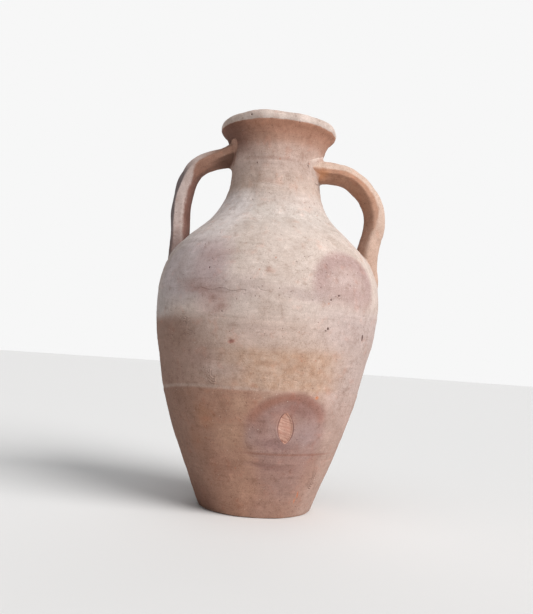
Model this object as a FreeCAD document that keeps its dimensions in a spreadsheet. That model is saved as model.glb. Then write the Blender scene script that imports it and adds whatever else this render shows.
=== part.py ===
import FreeCAD, Part
import Sketcher
import os
from FreeCAD import Vector, Placement, Rotation

# Two-handled unglazed clay amphora, 500 mm tall, thrown in sections and luted together.
# Millimetres, +Z up, origin at the centre of the flat underside of the foot. The handles
# lie roughly along X, their upper ends turned a little towards -Y.
#
# The outline is one master profile and the inside is a second one. The shell between them is
# divided at the heights where the potter joined the thrown sections, so the pieces meet face
# to face. The handles are swept straps, trimmed by the outside of the vessel, and each root
# has its own pad of luting clay.

doc = FreeCAD.newDocument("amphora")
sheet = doc.addObject("Spreadsheet::Sheet", "Dimensions")
row = [0]


def cell(name, value):
    row[0] += 1
    sheet.set("A%d" % row[0], name)
    sheet.set("B%d" % row[0], "%g" % value)
    sheet.setAlias("B%d" % row[0], name)


# ---------------------------------------------------------------- driving dimensions
cell("total_height", 500.0)      # flat foot to the crest of the lip
cell("foot_radius", 69.0)        # flat that the jar stands on
cell("foot_join", 14.0)          # top of the base disc, and of the floor inside
cell("belly_join", 154.0)        # lower section to upper section
cell("neck_join", 374.0)         # shoulder to neck
cell("rim_join", 474.0)          # neck to lip
cell("band_radius", 200.0)       # radius of the dividing bands, wider than the jar
cell("crest_radius", 68.5)       # top of the lip

# poles of the outline, from the edge of the foot up to under the lip: radius, height
WALL = [(72.5, 3.0), (77.6, 14.1), (86.4, 37.0), (100.1, 71.2), (112.2, 105.8),
        (123.7, 140.9), (131.9, 176.6), (139.6, 212.7), (143.9, 249.0), (144.9, 286.4),
        (131.1, 321.1), (105.8, 348.3), (76.4, 371.0), (59.4, 404.6), (57.8, 442.1),
        (61.9, 466.1), (67.0, 477.5)]
# poles of the lip's outer face, from under the lip to its crest
LIP = [(67.0, 477.5), (69.3, 482.6), (74.3, 485.4), (77.3, 489.6), (76.2, 496.4),
       (73.0, 500.0), (68.5, 500.0)]
# poles of the lip's inner face, from its crest down into the neck
MOUTH = [(68.5, 500.0), (64.0, 500.0), (61.4, 493.0), (60.2, 483.0), (58.0, 476.6)]
# poles of the inside, from the neck down to the floor
INSIDE = [(58.0, 476.6), (54.4, 466.8), (49.7, 445.4), (50.8, 413.8), (58.8, 382.0),
          (80.2, 357.6), (104.2, 337.0), (125.7, 312.5), (135.9, 281.8), (134.8, 249.5),
          (131.2, 217.9), (124.3, 186.6), (117.8, 155.4), (108.1, 124.9), (98.2, 94.6),
          (86.6, 64.7), (74.7, 35.4), (67.0, 15.0), (54.0, 14.0)]
for name, poles in (("wall", WALL), ("lip", LIP), ("mouth", MOUTH), ("inside", INSIDE)):
    for i, (radius, height) in enumerate(poles):
        cell("%s_radius_%s" % (name, chr(97 + i)), radius)
        cell("%s_height_%s" % (name, chr(97 + i)), height)

# handles: a strap of oval section swept along a curve in an upright plane. The plane is
# turned about Z and set off from the axis. along = distance in the plane, up = height.
HANDLES = {
    "left": dict(turn=166.84, offset=-27.22, half_width=17.5, half_thickness=12.2,
                 path=[(33.0, 461.0), (57.0, 456.8), (85.0, 450.2), (114.6, 438.0),
                       (126.2, 404.5), (128.4, 370.0), (124.4, 336.3), (129.0, 296.0),
                       (118.0, 276.0)]),
    "right": dict(turn=15.38, offset=-33.75, half_width=17.8, half_thickness=13.4,
                  path=[(34.0, 438.0), (60.0, 439.4), (92.0, 443.6), (118.6, 428.6),
                        (136.6, 408.0), (143.6, 371.0), (124.8, 331.0), (139.0, 287.0),
                        (124.0, 258.0)]),
}
for side, spec in HANDLES.items():
    cell("%s_turn" % side, spec["turn"])
    cell("%s_offset" % side, spec["offset"])
    cell("%s_half_width" % side, spec["half_width"])
    cell("%s_half_thickness" % side, spec["half_thickness"])
    for i, (along, up) in enumerate(spec["path"]):
        cell("%s_along_%s" % (side, chr(97 + i)), along)
        cell("%s_up_%s" % (side, chr(97 + i)), up)

# pads of luting clay round the roots: each is the cap of a ball that stands out of the wall.
# centre, radius, and the turn about Z that puts the ball's own seam inside the wall
PADS = {
    "left_neck_pad": dict(x=-39.6, y=-10.2, z=453.0, turn=14.5, ball=28.5),
    "left_shoulder_pad": dict(x=-95.2, y=1.0, z=306.9, turn=0.0, ball=44.0),
    "right_neck_pad": dict(x=36.0, y=-11.6, z=441.5, turn=162.2, ball=32.0),
    "right_shoulder_pad": dict(x=100.1, y=2.0, z=299.7, turn=180.0, ball=46.0),
}
for name, spec in PADS.items():
    for key, value in spec.items():
        cell("%s_%s" % (name, key), value)
doc.recompute()


# ---------------------------------------------------------------- helpers
def spline(points):
    """A clamped cubic through its poles, evenly knotted."""
    n = len(points)
    knots = n - 2
    mults = [4] + [1] * (knots - 2) + [4]
    curve = Part.BSplineCurve()
    curve.buildFromPolesMultsKnots([Vector(p[0], p[1], 0) for p in points], mults,
                                   [float(k) for k in range(knots)], False, 3)
    return curve


def sketch_on(plane, name, body=None):
    """A sketch on one of the origin planes: in a body, or free-standing on the XZ plane."""
    if body is None:
        sketch = doc.addObject("Sketcher::SketchObject", name)
        sketch.Placement = Placement(Vector(0, 0, 0), Rotation(Vector(1, 0, 0), 90))
        return sketch
    sketch = body.newObject("Sketcher::SketchObject", name)
    origin_plane = [f for f in body.Origin.OriginFeatures if f.Role == plane][0]
    sketch.AttachmentSupport = [(origin_plane, "")]
    sketch.MapMode = "FlatFace"
    return sketch


def add_spline(sketch, poles, across, upright):
    """Adds a B-spline whose poles are held by cells: across(i) and upright(i) name them."""
    geo = sketch.addGeometry(spline(poles), False)
    for i, (u, v) in enumerate(poles):
        circle = sketch.addGeometry(Part.Circle(Vector(u, v, 0), Vector(0, 0, 1), 1.0), True)
        sketch.addConstraint(Sketcher.Constraint(
            "InternalAlignment:Sketcher::BSplineControlPoint", circle, 3, geo, i))
        if i == 0:
            sketch.addConstraint(Sketcher.Constraint("Weight", circle, 1.0))
            first = circle
        else:
            sketch.addConstraint(Sketcher.Constraint("Equal", first, circle))
        cx = sketch.addConstraint(Sketcher.Constraint("DistanceX", -1, 1, circle, 3, u))
        cy = sketch.addConstraint(Sketcher.Constraint("DistanceY", -1, 1, circle, 3, v))
        for index, key in ((cx, across(i)), (cy, upright(i))):
            sketch.renameConstraint(index, key)
            sketch.setExpression("Constraints." + key, "Dimensions." + key)
    return geo


def letter(prefix):
    return lambda i: "%s_%s" % (prefix, chr(97 + i))


def line(sketch, a, b):
    return sketch.addGeometry(Part.LineSegment(Vector(a[0], a[1], 0), Vector(b[0], b[1], 0)), False)


def join(sketch, geo_a, end_a, geo_b, end_b):
    sketch.addConstraint(Sketcher.Constraint("Coincident", geo_a, end_a, geo_b, end_b))


def revolve(name, sketch):
    solid = doc.addObject("Part::Revolution", name)
    solid.Source = sketch
    solid.Axis = Vector(0, 0, 1)
    solid.Base = Vector(0, 0, 0)
    solid.Angle = 360
    solid.Solid = True
    return solid


# ---------------------------------------------------------------- master profiles
outside = sketch_on(None, "outside_profile")
wall = add_spline(outside, WALL, letter("wall_radius"), letter("wall_height"))
lip = add_spline(outside, LIP, letter("lip_radius"), letter("lip_height"))
top = line(outside, (68.5, 500), (0, 500))
axis = line(outside, (0, 500), (0, 0))
foot = line(outside, (0, 0), (69.0, 0))
edge = line(outside, (69.0, 0), (72.5, 3.0))
join(outside, lip, 2, top, 1)
join(outside, top, 2, axis, 1)
join(outside, axis, 2, foot, 1)
join(outside, foot, 2, edge, 1)
join(outside, edge, 2, wall, 1)
outside.addConstraint(Sketcher.Constraint("PointOnObject", top, 2, -2))
outside.addConstraint(Sketcher.Constraint("Coincident", axis, 2, -1, 1))
outside.addConstraint(Sketcher.Constraint("Horizontal", top))
outside.addConstraint(Sketcher.Constraint("Horizontal", foot))
k = outside.addConstraint(Sketcher.Constraint("DistanceX", -1, 1, foot, 2, 69.0))
outside.renameConstraint(k, "foot_radius")
outside.setExpression("Constraints.foot_radius", "Dimensions.foot_radius")

inside = sketch_on(None, "inside_profile")
mouth = add_spline(inside, MOUTH, letter("mouth_radius"), letter("mouth_height"))
cavity_line = add_spline(inside, INSIDE, letter("inside_radius"), letter("inside_height"))
rise = line(inside, (68.5, 510), (68.5, 500))
lid = line(inside, (0, 510), (68.5, 510))
centre = line(inside, (0, 14), (0, 510))
floor = line(inside, (54.0, 14.0), (0, 14.0))
join(inside, lid, 2, rise, 1)
join(inside, rise, 2, mouth, 1)
join(inside, cavity_line, 2, floor, 1)
join(inside, floor, 2, centre, 1)
join(inside, centre, 2, lid, 1)
inside.addConstraint(Sketcher.Constraint("Vertical", rise))
inside.addConstraint(Sketcher.Constraint("Horizontal", lid))
inside.addConstraint(Sketcher.Constraint("PointOnObject", centre, 1, -2))
inside.addConstraint(Sketcher.Constraint("PointOnObject", centre, 2, -2))
inside.addConstraint(Sketcher.Constraint("Horizontal", floor))
k = inside.addConstraint(Sketcher.Constraint("DistanceY", -1, 1, lid, 1, 510.0))
inside.renameConstraint(k, "lid_height")
inside.setExpression("Constraints.lid_height", "Dimensions.total_height + 10")
doc.recompute()

envelope = revolve("vessel_outside", outside)
cavity = revolve("vessel_inside", inside)
shell = doc.addObject("Part::Cut", "vessel_shell")
shell.Base = envelope
shell.Tool = cavity

# ---------------------------------------------------------------- thrown sections
nodes = []
BANDS = [("base_disc", None, "foot_join"), ("lower_body", "foot_join", "belly_join"),
         ("upper_body", "belly_join", "neck_join"), ("neck", "neck_join", "rim_join"),
         ("rim", "rim_join", None)]
for name, low, high in BANDS:
    band = doc.addObject("Part::Cylinder", name + "_band")
    band.setExpression("Radius", "Dimensions.band_radius")
    bottom = "Dimensions." + low if low else "0"
    ceiling = "Dimensions." + high if high else "Dimensions.total_height"
    band.setExpression("Height", "%s - %s" % (ceiling, bottom))
    band.setExpression("Placement.Base.z", bottom)
    piece = doc.addObject("Part::Common", name)
    piece.Base = shell
    piece.Tool = band
    piece.Label = name
    nodes.append(piece)
doc.recompute()

# ---------------------------------------------------------------- handles
straps = {}
for side, spec in HANDLES.items():
    body = doc.addObject("PartDesign::Body", "handle_%s_strap" % side)
    path = sketch_on("XZ_Plane", "handle_%s_path" % side, body)
    add_spline(path, spec["path"], letter("%s_along" % side), letter("%s_up" % side))
    section = sketch_on("YZ_Plane", "handle_%s_section" % side, body)
    section.setExpression(".AttachmentOffset.Base.z", "Dimensions.%s_along_a" % side)
    doc.recompute()
    up = spec["path"][0][1]
    wide, thick = spec["half_width"], spec["half_thickness"]
    oval = section.addGeometry(Part.Ellipse(Vector(wide, up, 0), Vector(0, up + thick, 0),
                                            Vector(0, up, 0)), False)
    section.exposeInternalGeometry(oval)
    section.addConstraint(Sketcher.Constraint("Horizontal", oval + 1))
    section.addConstraint(Sketcher.Constraint("PointOnObject", oval, 3, -2))
    for kind, args, key in (("DistanceY", (-1, 1, oval, 3, up), "%s_up_a" % side),
                            ("Distance", (oval + 1, 2 * wide), "%s_half_width" % side),
                            ("Distance", (oval + 2, 2 * thick), "%s_half_thickness" % side)):
        k = section.addConstraint(Sketcher.Constraint(kind, *args))
        section.renameConstraint(k, key)
        factor = "2 * " if kind == "Distance" else ""
        section.setExpression("Constraints." + key, factor + "Dimensions." + key)
    doc.recompute()
    pipe = body.newObject("PartDesign::AdditivePipe", "handle_%s_pipe" % side)
    pipe.Profile = section
    pipe.Spine = (path, ["Edge1"])
    pipe.Mode = "Standard"
    body.Tip = pipe
    body.setExpression("Placement.Rotation.Axis.z", "1")
    body.setExpression("Placement.Rotation.Angle", "Dimensions.%s_turn" % side)
    body.setExpression("Placement.Base.y", "Dimensions.%s_offset" % side)
    doc.recompute()
    handle = doc.addObject("Part::Cut", "handle_%s" % side)
    handle.Base = body
    handle.Tool = envelope
    handle.Label = "handle_%s" % side
    straps[side] = handle
    nodes.append(handle)
doc.recompute()

# ---------------------------------------------------------------- luting pads
for name, spec in PADS.items():
    side = name.split("_")[0]
    blob = doc.addObject("Part::Sphere", name + "_ball")
    blob.setExpression("Radius", "Dimensions.%s_ball" % name)
    blob.Placement = Placement(Vector(spec["x"], spec["y"], spec["z"]),
                               Rotation(Vector(0, 0, 1), spec["turn"]))
    for axis_name in "xyz":
        blob.setExpression("Placement.Base." + axis_name, "Dimensions.%s_%s" % (name, axis_name))
    around = doc.addObject("Part::MultiFuse", name + "_around")
    around.Shapes = [envelope, straps[side]]
    pad = doc.addObject("Part::Cut", name)
    pad.Base = blob
    pad.Tool = around
    pad.Label = name
    nodes.append(pad)
doc.recompute()

# ---------------------------------------------------------------- checks and export
for obj in doc.Objects:
    for flag in ("Invalid", "Error"):
        if flag in obj.State:
            raise RuntimeError("%s is %s" % (obj.Name, flag))
os.makedirs("parts", exist_ok=True)
for piece in nodes:
    shape = piece.Shape
    if shape.isNull() or not shape.isValid() or not shape.Solids:
        raise RuntimeError(piece.Label + " has no valid solid")
    shape.exportStep("parts/%s.step" % piece.Label)
    box = shape.BoundBox
    print("%-20s solids %d  volume %9.0f  x %.1f..%.1f  y %.1f..%.1f  z %.1f..%.1f" % (
        piece.Label, len(shape.Solids), shape.Volume, box.XMin, box.XMax, box.YMin, box.YMax,
        box.ZMin, box.ZMax))
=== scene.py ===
import math

import bmesh
import bpy
import numpy as np
from mathutils import Matrix, Vector


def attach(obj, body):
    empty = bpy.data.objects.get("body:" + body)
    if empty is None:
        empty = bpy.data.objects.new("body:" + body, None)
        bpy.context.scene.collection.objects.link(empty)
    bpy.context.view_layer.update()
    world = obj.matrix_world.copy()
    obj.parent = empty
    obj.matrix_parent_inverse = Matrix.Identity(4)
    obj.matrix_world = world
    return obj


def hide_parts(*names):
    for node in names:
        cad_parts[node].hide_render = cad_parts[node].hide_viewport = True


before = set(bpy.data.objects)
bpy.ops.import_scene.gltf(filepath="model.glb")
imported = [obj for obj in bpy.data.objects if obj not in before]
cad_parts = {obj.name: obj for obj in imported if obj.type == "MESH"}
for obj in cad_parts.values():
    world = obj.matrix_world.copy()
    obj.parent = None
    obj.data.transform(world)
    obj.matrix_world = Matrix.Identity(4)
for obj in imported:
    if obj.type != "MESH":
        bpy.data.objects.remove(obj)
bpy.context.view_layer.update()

SEG = 400          # columns round the jar
STEP = 2.2         # ring spacing on the outside, mm
RNG = np.random.default_rng(41)

# ================================================================= profile (millimetres)
WALL = [(72.5, 3.0), (77.6, 14.1), (86.4, 37.0), (100.1, 71.2), (112.2, 105.8),
        (123.7, 140.9), (131.9, 176.6), (139.6, 212.7), (143.9, 249.0), (144.9, 286.4),
        (131.1, 321.1), (105.8, 348.3), (76.4, 371.0), (59.4, 404.6), (57.8, 442.1),
        (61.9, 466.1), (67.0, 477.5)]
LIP = [(67.0, 477.5), (69.3, 482.6), (74.3, 485.4), (77.3, 489.6), (76.2, 496.4),
       (73.0, 500.0), (68.5, 500.0)]
MOUTH = [(68.5, 500.0), (64.0, 500.0), (61.4, 493.0), (60.2, 483.0), (58.0, 476.6)]
INSIDE = [(58.0, 476.6), (54.4, 466.8), (49.7, 445.4), (50.8, 413.8), (58.8, 382.0),
          (80.2, 357.6), (104.2, 337.0), (125.7, 312.5), (135.9, 281.8), (134.8, 249.5),
          (131.2, 217.9), (124.3, 186.6), (117.8, 155.4), (108.1, 124.9), (98.2, 94.6),
          (86.6, 64.7), (74.7, 35.4), (67.0, 15.0), (54.0, 14.0)]
JOINS = {"base_disc": (0.0, 14.0), "lower_body": (14.0, 154.0), "upper_body": (154.0, 374.0),
         "neck": (374.0, 474.0), "rim": (474.0, 500.0)}


def bspline(poles, u):
    """Points of a clamped, evenly knotted cubic at u in 0..1."""
    poles = np.asarray(poles, float)
    n = len(poles)
    x = np.clip(np.asarray(u, float), 0, 1) * (n - 3)
    knots = np.r_[[0.0] * 3, np.arange(n - 2), [float(n - 3)] * 3]
    span = np.clip(np.floor(x).astype(int), 0, n - 4) + 3
    d = [poles[span - 3 + j] for j in range(4)]
    for r in range(1, 4):
        for j in range(3, r - 1, -1):
            lo, hi = knots[span - 3 + j], knots[span + 1 + j - r]
            w = ((x - lo) / (hi - lo))[..., None]
            d[j] = (1 - w) * d[j - 1] + w * d[j]
    return d[3]


def bezier(a, b, c, n):
    t = np.linspace(0, 1, n)[:, None]
    return (1 - t) ** 2 * np.array(a) + 2 * t * (1 - t) * np.array(b) + t ** 2 * np.array(c)


class Curve:
    """A profile in r, z by arc length, with its outward normal."""

    def __init__(self, points):
        keep = np.r_[True, np.linalg.norm(np.diff(points, axis=0), axis=1) > 1e-6]
        self.p = points[keep]
        self.s = np.r_[0, np.cumsum(np.linalg.norm(np.diff(self.p, axis=0), axis=1))]
        self.length = self.s[-1]
        t = np.gradient(self.p, self.s, axis=0)
        t /= np.linalg.norm(t, axis=1)[:, None]
        self.n = np.stack([t[:, 1], -t[:, 0]], 1)

    def at(self, s):
        return (np.interp(s, self.s, self.p[:, 0]), np.interp(s, self.s, self.p[:, 1]),
                np.interp(s, self.s, self.n[:, 0]), np.interp(s, self.s, self.n[:, 1]))

    def find(self, z, first=True):
        """Arc length where the curve passes height z."""
        h = self.p[:, 1] - z
        k = np.where(np.sign(h[:-1]) * np.sign(h[1:]) <= 0)[0]
        k = k[0] if first else k[-1]
        w = h[k] / (h[k] - h[k + 1]) if h[k] != h[k + 1] else 0.0
        return self.s[k] + w * (self.s[k + 1] - self.s[k])


uu = np.linspace(0, 1, 1200)
outer = Curve(np.vstack([bezier((67.6, 0.0), (71.7, 0.0), WALL[0], 24), bspline(WALL, uu),
                         bspline(LIP, np.linspace(0, 1, 240))]))
inner = Curve(np.vstack([bspline(MOUTH, np.linspace(0, 1, 240)), bspline(INSIDE, uu)]))

# the hand-thrown axis wanders a little: x and y offset by height
AX_Z = np.array([0, 70, 140, 210, 280, 350, 425, 500.0])
AX_X = np.array([1.2, -0.6, -1.9, -1.0, 1.3, 1.3, -0.9, 0.7])
AX_Y = np.array([0.0, 0.6, 1.0, 0.2, -0.7, -0.6, 0.3, 0.5])


def smooth_interp(x, xs, ys):
    """Cosine-free smooth interpolation: Catmull-Rom through the stations."""
    x = np.clip(x, xs[0], xs[-1])
    i = np.clip(np.searchsorted(xs, x) - 1, 0, len(xs) - 2)
    slope = np.gradient(ys, xs)
    dx = xs[i + 1] - xs[i]
    t = (x - xs[i]) / dx
    return ((2 * t ** 3 - 3 * t ** 2 + 1) * ys[i] + (t ** 3 - 2 * t ** 2 + t) * dx * slope[i]
            + (-2 * t ** 3 + 3 * t ** 2) * ys[i + 1] + (t ** 3 - t ** 2) * dx * slope[i + 1])


def sstep(a, b, x):
    t = np.clip((x - a) / (b - a), 0, 1)
    return t * t * (3 - 2 * t)


class Waves:
    """Smooth seeded noise: a sum of plane waves. dims = 2 for (theta, z), 3 for a point."""

    def __init__(self, seed, count, wavelength, amp, flat=1.0, radius=120.0):
        rng = np.random.default_rng(seed)
        lam = np.exp(rng.uniform(np.log(wavelength[0]), np.log(wavelength[1]), count))
        ang = rng.uniform(0, 2 * np.pi, count)
        self.kt = np.round(2 * np.pi * radius / (lam * flat) * np.cos(ang))
        self.kz = 2 * np.pi / lam * np.sin(ang)
        self.ph = rng.uniform(0, 2 * np.pi, count)
        self.a = amp * np.sqrt(2.0 / count)
        v = rng.normal(size=(count, 3))
        self.k3 = v / np.linalg.norm(v, axis=1)[:, None] * (2 * np.pi / lam)[:, None]

    def cyl(self, theta, z):
        out = np.zeros(np.broadcast(theta, z).shape)
        for kt, kz, ph in zip(self.kt, self.kz, self.ph):
            out += np.cos(kt * theta + kz * z + ph)
        return out * self.a

    def pos(self, p):
        out = np.zeros(len(p))
        for k, ph in zip(self.k3, self.ph):
            out += np.cos(p @ k + ph)
        return out * self.a


LUMPS = Waves(3, 16, (70, 260), 0.55)
DENTS = Waves(5, 22, (22, 60), 0.16)
FINE = Waves(9, 26, (7, 18), 0.055)
HAND = Waves(12, 14, (18, 60), 0.28)
HANDFINE = Waves(17, 22, (6, 14), 0.07)
INNERLUMP = Waves(21, 16, (30, 120), 0.5)


def rings(theta, z, seed, lo, hi, amp, count=14):
    """Throwing rings: bands round the wall that climb in a slow spiral and come and go."""
    rng = np.random.default_rng(seed)
    out = np.zeros(np.broadcast(theta, z).shape)
    for _ in range(count):
        lam = rng.uniform(lo, hi)
        climb = rng.choice([1, 1, 1, 2, 0])
        ph = rng.uniform(0, 2 * np.pi)
        lobes = rng.integers(1, 4)
        fade = 0.55 + 0.45 * np.cos(lobes * theta + rng.uniform(0, 6.28) + z / rng.uniform(40, 90))
        out += np.cos(2 * np.pi * z / lam + climb * theta + ph) * fade
    return out * amp * math.sqrt(2.0 / count)


# ---------------------------------------------------------------- small marks in the clay
# pinholes: degrees from the front towards +X, height, radius, depth (mm)
PITS = [(-38.9, 322.0, 1.05, 1.2), (-30.5, 292.2, 1.15, 1.2), (-36.1, 256.8, 0.8, 0.8),
        (-20.8, 241.7, 0.9, 0.9), (34.4, 269.3, 1.2, 1.4), (30.1, 263.5, 1.1, 1.2),
        (30.8, 230.1, 1.5, 1.5), (29.6, 227.6, 1.0, 1.0), (31.9, 231.6, 0.8, 0.8), (-15.9, 208.3, 2.4, 0.5), (-38.0, 490.7, 1.0, 0.9),
        (-27.8, 493.6, 1.3, 1.1), (41.2, 495.3, 1.0, 0.8), (22.5, 290.4, 0.7, 0.7),
        (24.0, 276.0, 0.8, 0.8), (41.5, 283.0, 0.9, 0.9), (36.0, 318.0, 0.7, 0.7),
        (6.0, 331.0, 0.7, 0.7), (-9.0, 345.0, 0.7, 0.6), (-27.0, 345.0, 0.7, 0.7),
        (-4.0, 300.0, 0.8, 0.7), (12.0, 304.0, 0.8, 0.8), (-11.0, 262.0, 0.7, 0.7),
        (-24.0, 437.0, 1.0, 0.9), (-31.0, 421.0, 0.8, 0.7), (-14.0, 405.0, 0.7, 0.6),
        (22.0, 372.0, 0.8, 0.8), (39.0, 384.0, 0.8, 0.8), (28.0, 352.0, 0.6, 0.6),
        (32.1, 149.7, 0.8, 0.6), (-46.0, 175.0, 0.8, 0.8), (-22.0, 120.0, 0.9, 0.8),
        (-33.0, 96.0, 0.7, 0.6), (47.0, 175.0, 0.9, 0.8), (54.0, 250.0, 0.8, 0.7),
        (3.0, 171.0, 0.7, 0.6), (-52.0, 212.0, 0.9, 0.8), (8.0, 226.0, 0.8, 0.7)]
_r = np.random.default_rng(77)
for _ in range(150):
    _t = _r.uniform(62, 298)
    _t = _t - 360 if _t > 180 else _t
    if abs(abs(_t) - 180) < 4:
        continue
    PITS.append((_t, _r.uniform(18, 470), _r.uniform(0.5, 1.2), _r.uniform(0.5, 1.2)))
for _ in range(70):
    PITS.append((_r.uniform(-62, 62), _r.uniform(18, 462), _r.uniform(0.35, 0.65),
                 _r.uniform(0.3, 0.6)))
LONG_PITS = [(57.0, 224.1, 1.7, 4.2, 1.6, 0.25), (-24.0, 388.0, 0.7, 2.0, 0.6, 0.9),
             (120.0, 300.0, 1.0, 3.0, 0.9, 0.4), (-118.0, 190.0, 1.1, 2.8, 0.9, -0.5)]
# grooves: (degrees, height) along the line, half width, depth, raised lip
GROOVES = [
    ([(-33.2, 268.5), (-30.0, 266.2), (-26.9, 265.2), (-23.5, 267.4), (-20.9, 267.9),
      (-17.8, 265.3), (-15.4, 265.0), (-12.5, 266.9), (-10.3, 266.7)], 0.42, 0.55, 0.22),
    ([(-5.0, 270.9), (-3.8, 267.6), (-1.6, 266.6), (0.4, 268.0)], 0.5, 0.42, 0.24),
    ([(-17.0, 410.6), (-12.0, 409.4), (-5.7, 408.6), (-0.5, 407.8), (3.7, 406.7),
      (9.0, 405.6), (16.5, 405.2)], 0.42, 0.30, 0.22),
    ([(39.0, 33.7), (38.6, 28.5), (38.5, 23.5)], 0.6, 0.4, 0.1),
    ([(-14.0, 352.0), (-9.5, 350.6), (-6.0, 350.9)], 0.5, 0.35, 0.1),
    ([(140.0, 262.0), (146.0, 259.0), (151.0, 260.5)], 0.5, 0.45, 0.1),
    ([(-132.0, 118.0), (-128.0, 112.0), (-126.5, 104.0)], 0.55, 0.45, 0.1),
    ([(-98.0, 402.0), (-88.0, 400.5), (-80.0, 401.5)], 0.5, 0.4, 0.1),
]
# nested crescents where the clay wrinkled under a fingertip: place, first radius, arc in
# degrees, how many, spacing
for _deg, _z, _rad, _a0, _a1, _n, _gap in ((-24.5, 171.0, 3.5, 150, 285, 4, 2.2),
                                           (-42.0, 226.0, 3.0, 20, 150, 3, 1.9),
                                           (-38.5, 221.0, 2.5, 200, 330, 3, 1.7),
                                           (52.0, 58.0, 3.0, 120, 250, 3, 2.0),
                                           (52.0, 47.0, 3.0, 140, 280, 4, 2.0),
                                           (60.0, 38.0, 3.0, 100, 230, 2, 2.4),
                                           (118.0, 152.0, 3.5, 30, 160, 3, 2.2),
                                           (-112.0, 250.0, 3.0, 190, 310, 3, 2.0)):
    for _k in range(_n):
        _rr = _rad + _gap * _k
        _R = 130.0 if _z > 100 else 88.0
        _arc = [(_deg + math.degrees(_rr * math.cos(math.radians(_w)) / _R),
                 _z + _rr * 1.25 * math.sin(math.radians(_w)))
                for _w in np.linspace(_a0 + 9 * _k, _a1 - 5 * _k, 7)]
        GROOVES.append((_arc, 0.75, 0.42, 0.42))
GROOVES += [([(-13.0, 199.0), (-11.3, 195.5), (-10.5, 190.0), (-8.0, 183.5), (-6.0, 180.0)], 0.4, 0.28, 0.14),
            ([(-10.5, 197.0), (-8.0, 193.0), (-7.0, 188.5)], 0.35, 0.24, 0.10),
            ([(12.0, 168.0), (15.0, 166.5), (17.0, 168.5), (19.5, 167.5)], 0.5, 0.35, 0.12),
            ([(-2.0, 246.0), (1.0, 242.5), (2.5, 239.5)], 0.35, 0.25, 0.08),
            ([(-45.0, 208.0), (-40.0, 206.0), (-34.0, 206.5)], 0.4, 0.22, 0.08)]
SCAR = (16.25, 112.3, 9.0, 18.6)     # lens-shaped scar where another pot touched


def radius_at(z):
    return np.interp(z, outer.p[:, 1], outer.p[:, 0])


def surface_s(z):
    return np.interp(z, outer.p[:, 1], outer.s)


def marks(theta, s):
    """Depth of the small marks, along the outward normal."""
    out = np.zeros(theta.shape)
    z = np.interp(s, outer.s, outer.p[:, 1])
    r = np.interp(s, outer.s, outer.p[:, 0])
    for deg, height, rad, depth in PITS:
        u = (theta - math.radians(deg)) * r
        v = s - float(surface_s(height))
        d = np.hypot(u, v)
        k = d < rad * 3
        if k.any():
            q = d[k] / rad
            wob = 1 + 0.18 * np.cos(2 * np.arctan2(v[k], u[k]) + deg)
            out[k] -= depth * np.exp(-(q * wob) ** 3)
            out[k] += 0.10 * depth * np.exp(-((q - 1.6) / 0.5) ** 2)
    for deg, height, half, tall, depth, lean in LONG_PITS:
        u = (theta - math.radians(deg)) * r
        v = s - float(surface_s(height))
        u, v = u * math.cos(lean) + v * math.sin(lean), v * math.cos(lean) - u * math.sin(lean)
        out -= depth * np.exp(-np.hypot(u / half, v / tall) ** 3)
    for line, half, depth, lip in GROOVES:
        mid = math.radians(np.mean([p[0] for p in line]))
        rr = float(radius_at(np.mean([p[1] for p in line])))
        near = (np.abs(theta - mid) * r < 45) & (np.abs(z - np.mean([p[1] for p in line])) < 14)
        if not near.any():
            continue
        u, v = (theta[near] - mid) * rr, s[near]
        best = np.full(u.shape, 1e9)
        pts = [((math.radians(a) - mid) * rr, float(surface_s(b))) for a, b in line]
        for (ax, ay), (bx, by) in zip(pts, pts[1:]):
            w = np.clip(((u - ax) * (bx - ax) + (v - ay) * (by - ay))
                        / ((bx - ax) ** 2 + (by - ay) ** 2), 0, 1)
            best = np.minimum(best, np.hypot(u - ax - w * (bx - ax), v - ay - w * (by - ay)))
        ends = min(pts[0][0], pts[-1][0]), max(pts[0][0], pts[-1][0])
        q = best / half
        out[near] += -depth * np.exp(-q ** 2.5) + lip * np.exp(-((q - 2.0) / 0.8) ** 2)
    deg, height, half, tall = SCAR
    u = (theta - math.radians(deg)) * r
    v = s - float(surface_s(height))
    v2 = v + 0.06 * u
    q = np.abs(u + 0.10 * v) / (half * np.clip(1 - (v2 / tall) ** 2, 0.0, 1) ** 0.72 + 1e-3)
    inside = 1 - sstep(0.86, 1.06, q)
    edge = np.exp(-((q - 1.05) / 0.10) ** 2) * (np.abs(v2) < tall)
    floor = 0.10 * np.cos(v * 0.35 + u * 0.1) + 0.06 * np.cos(u * 0.6 + v * 0.5)
    out += inside * (-0.75 + floor) + 0.22 * np.exp(-((q - 1.22) / 0.14) ** 2) * (np.abs(v2) < tall)
    return out


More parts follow.
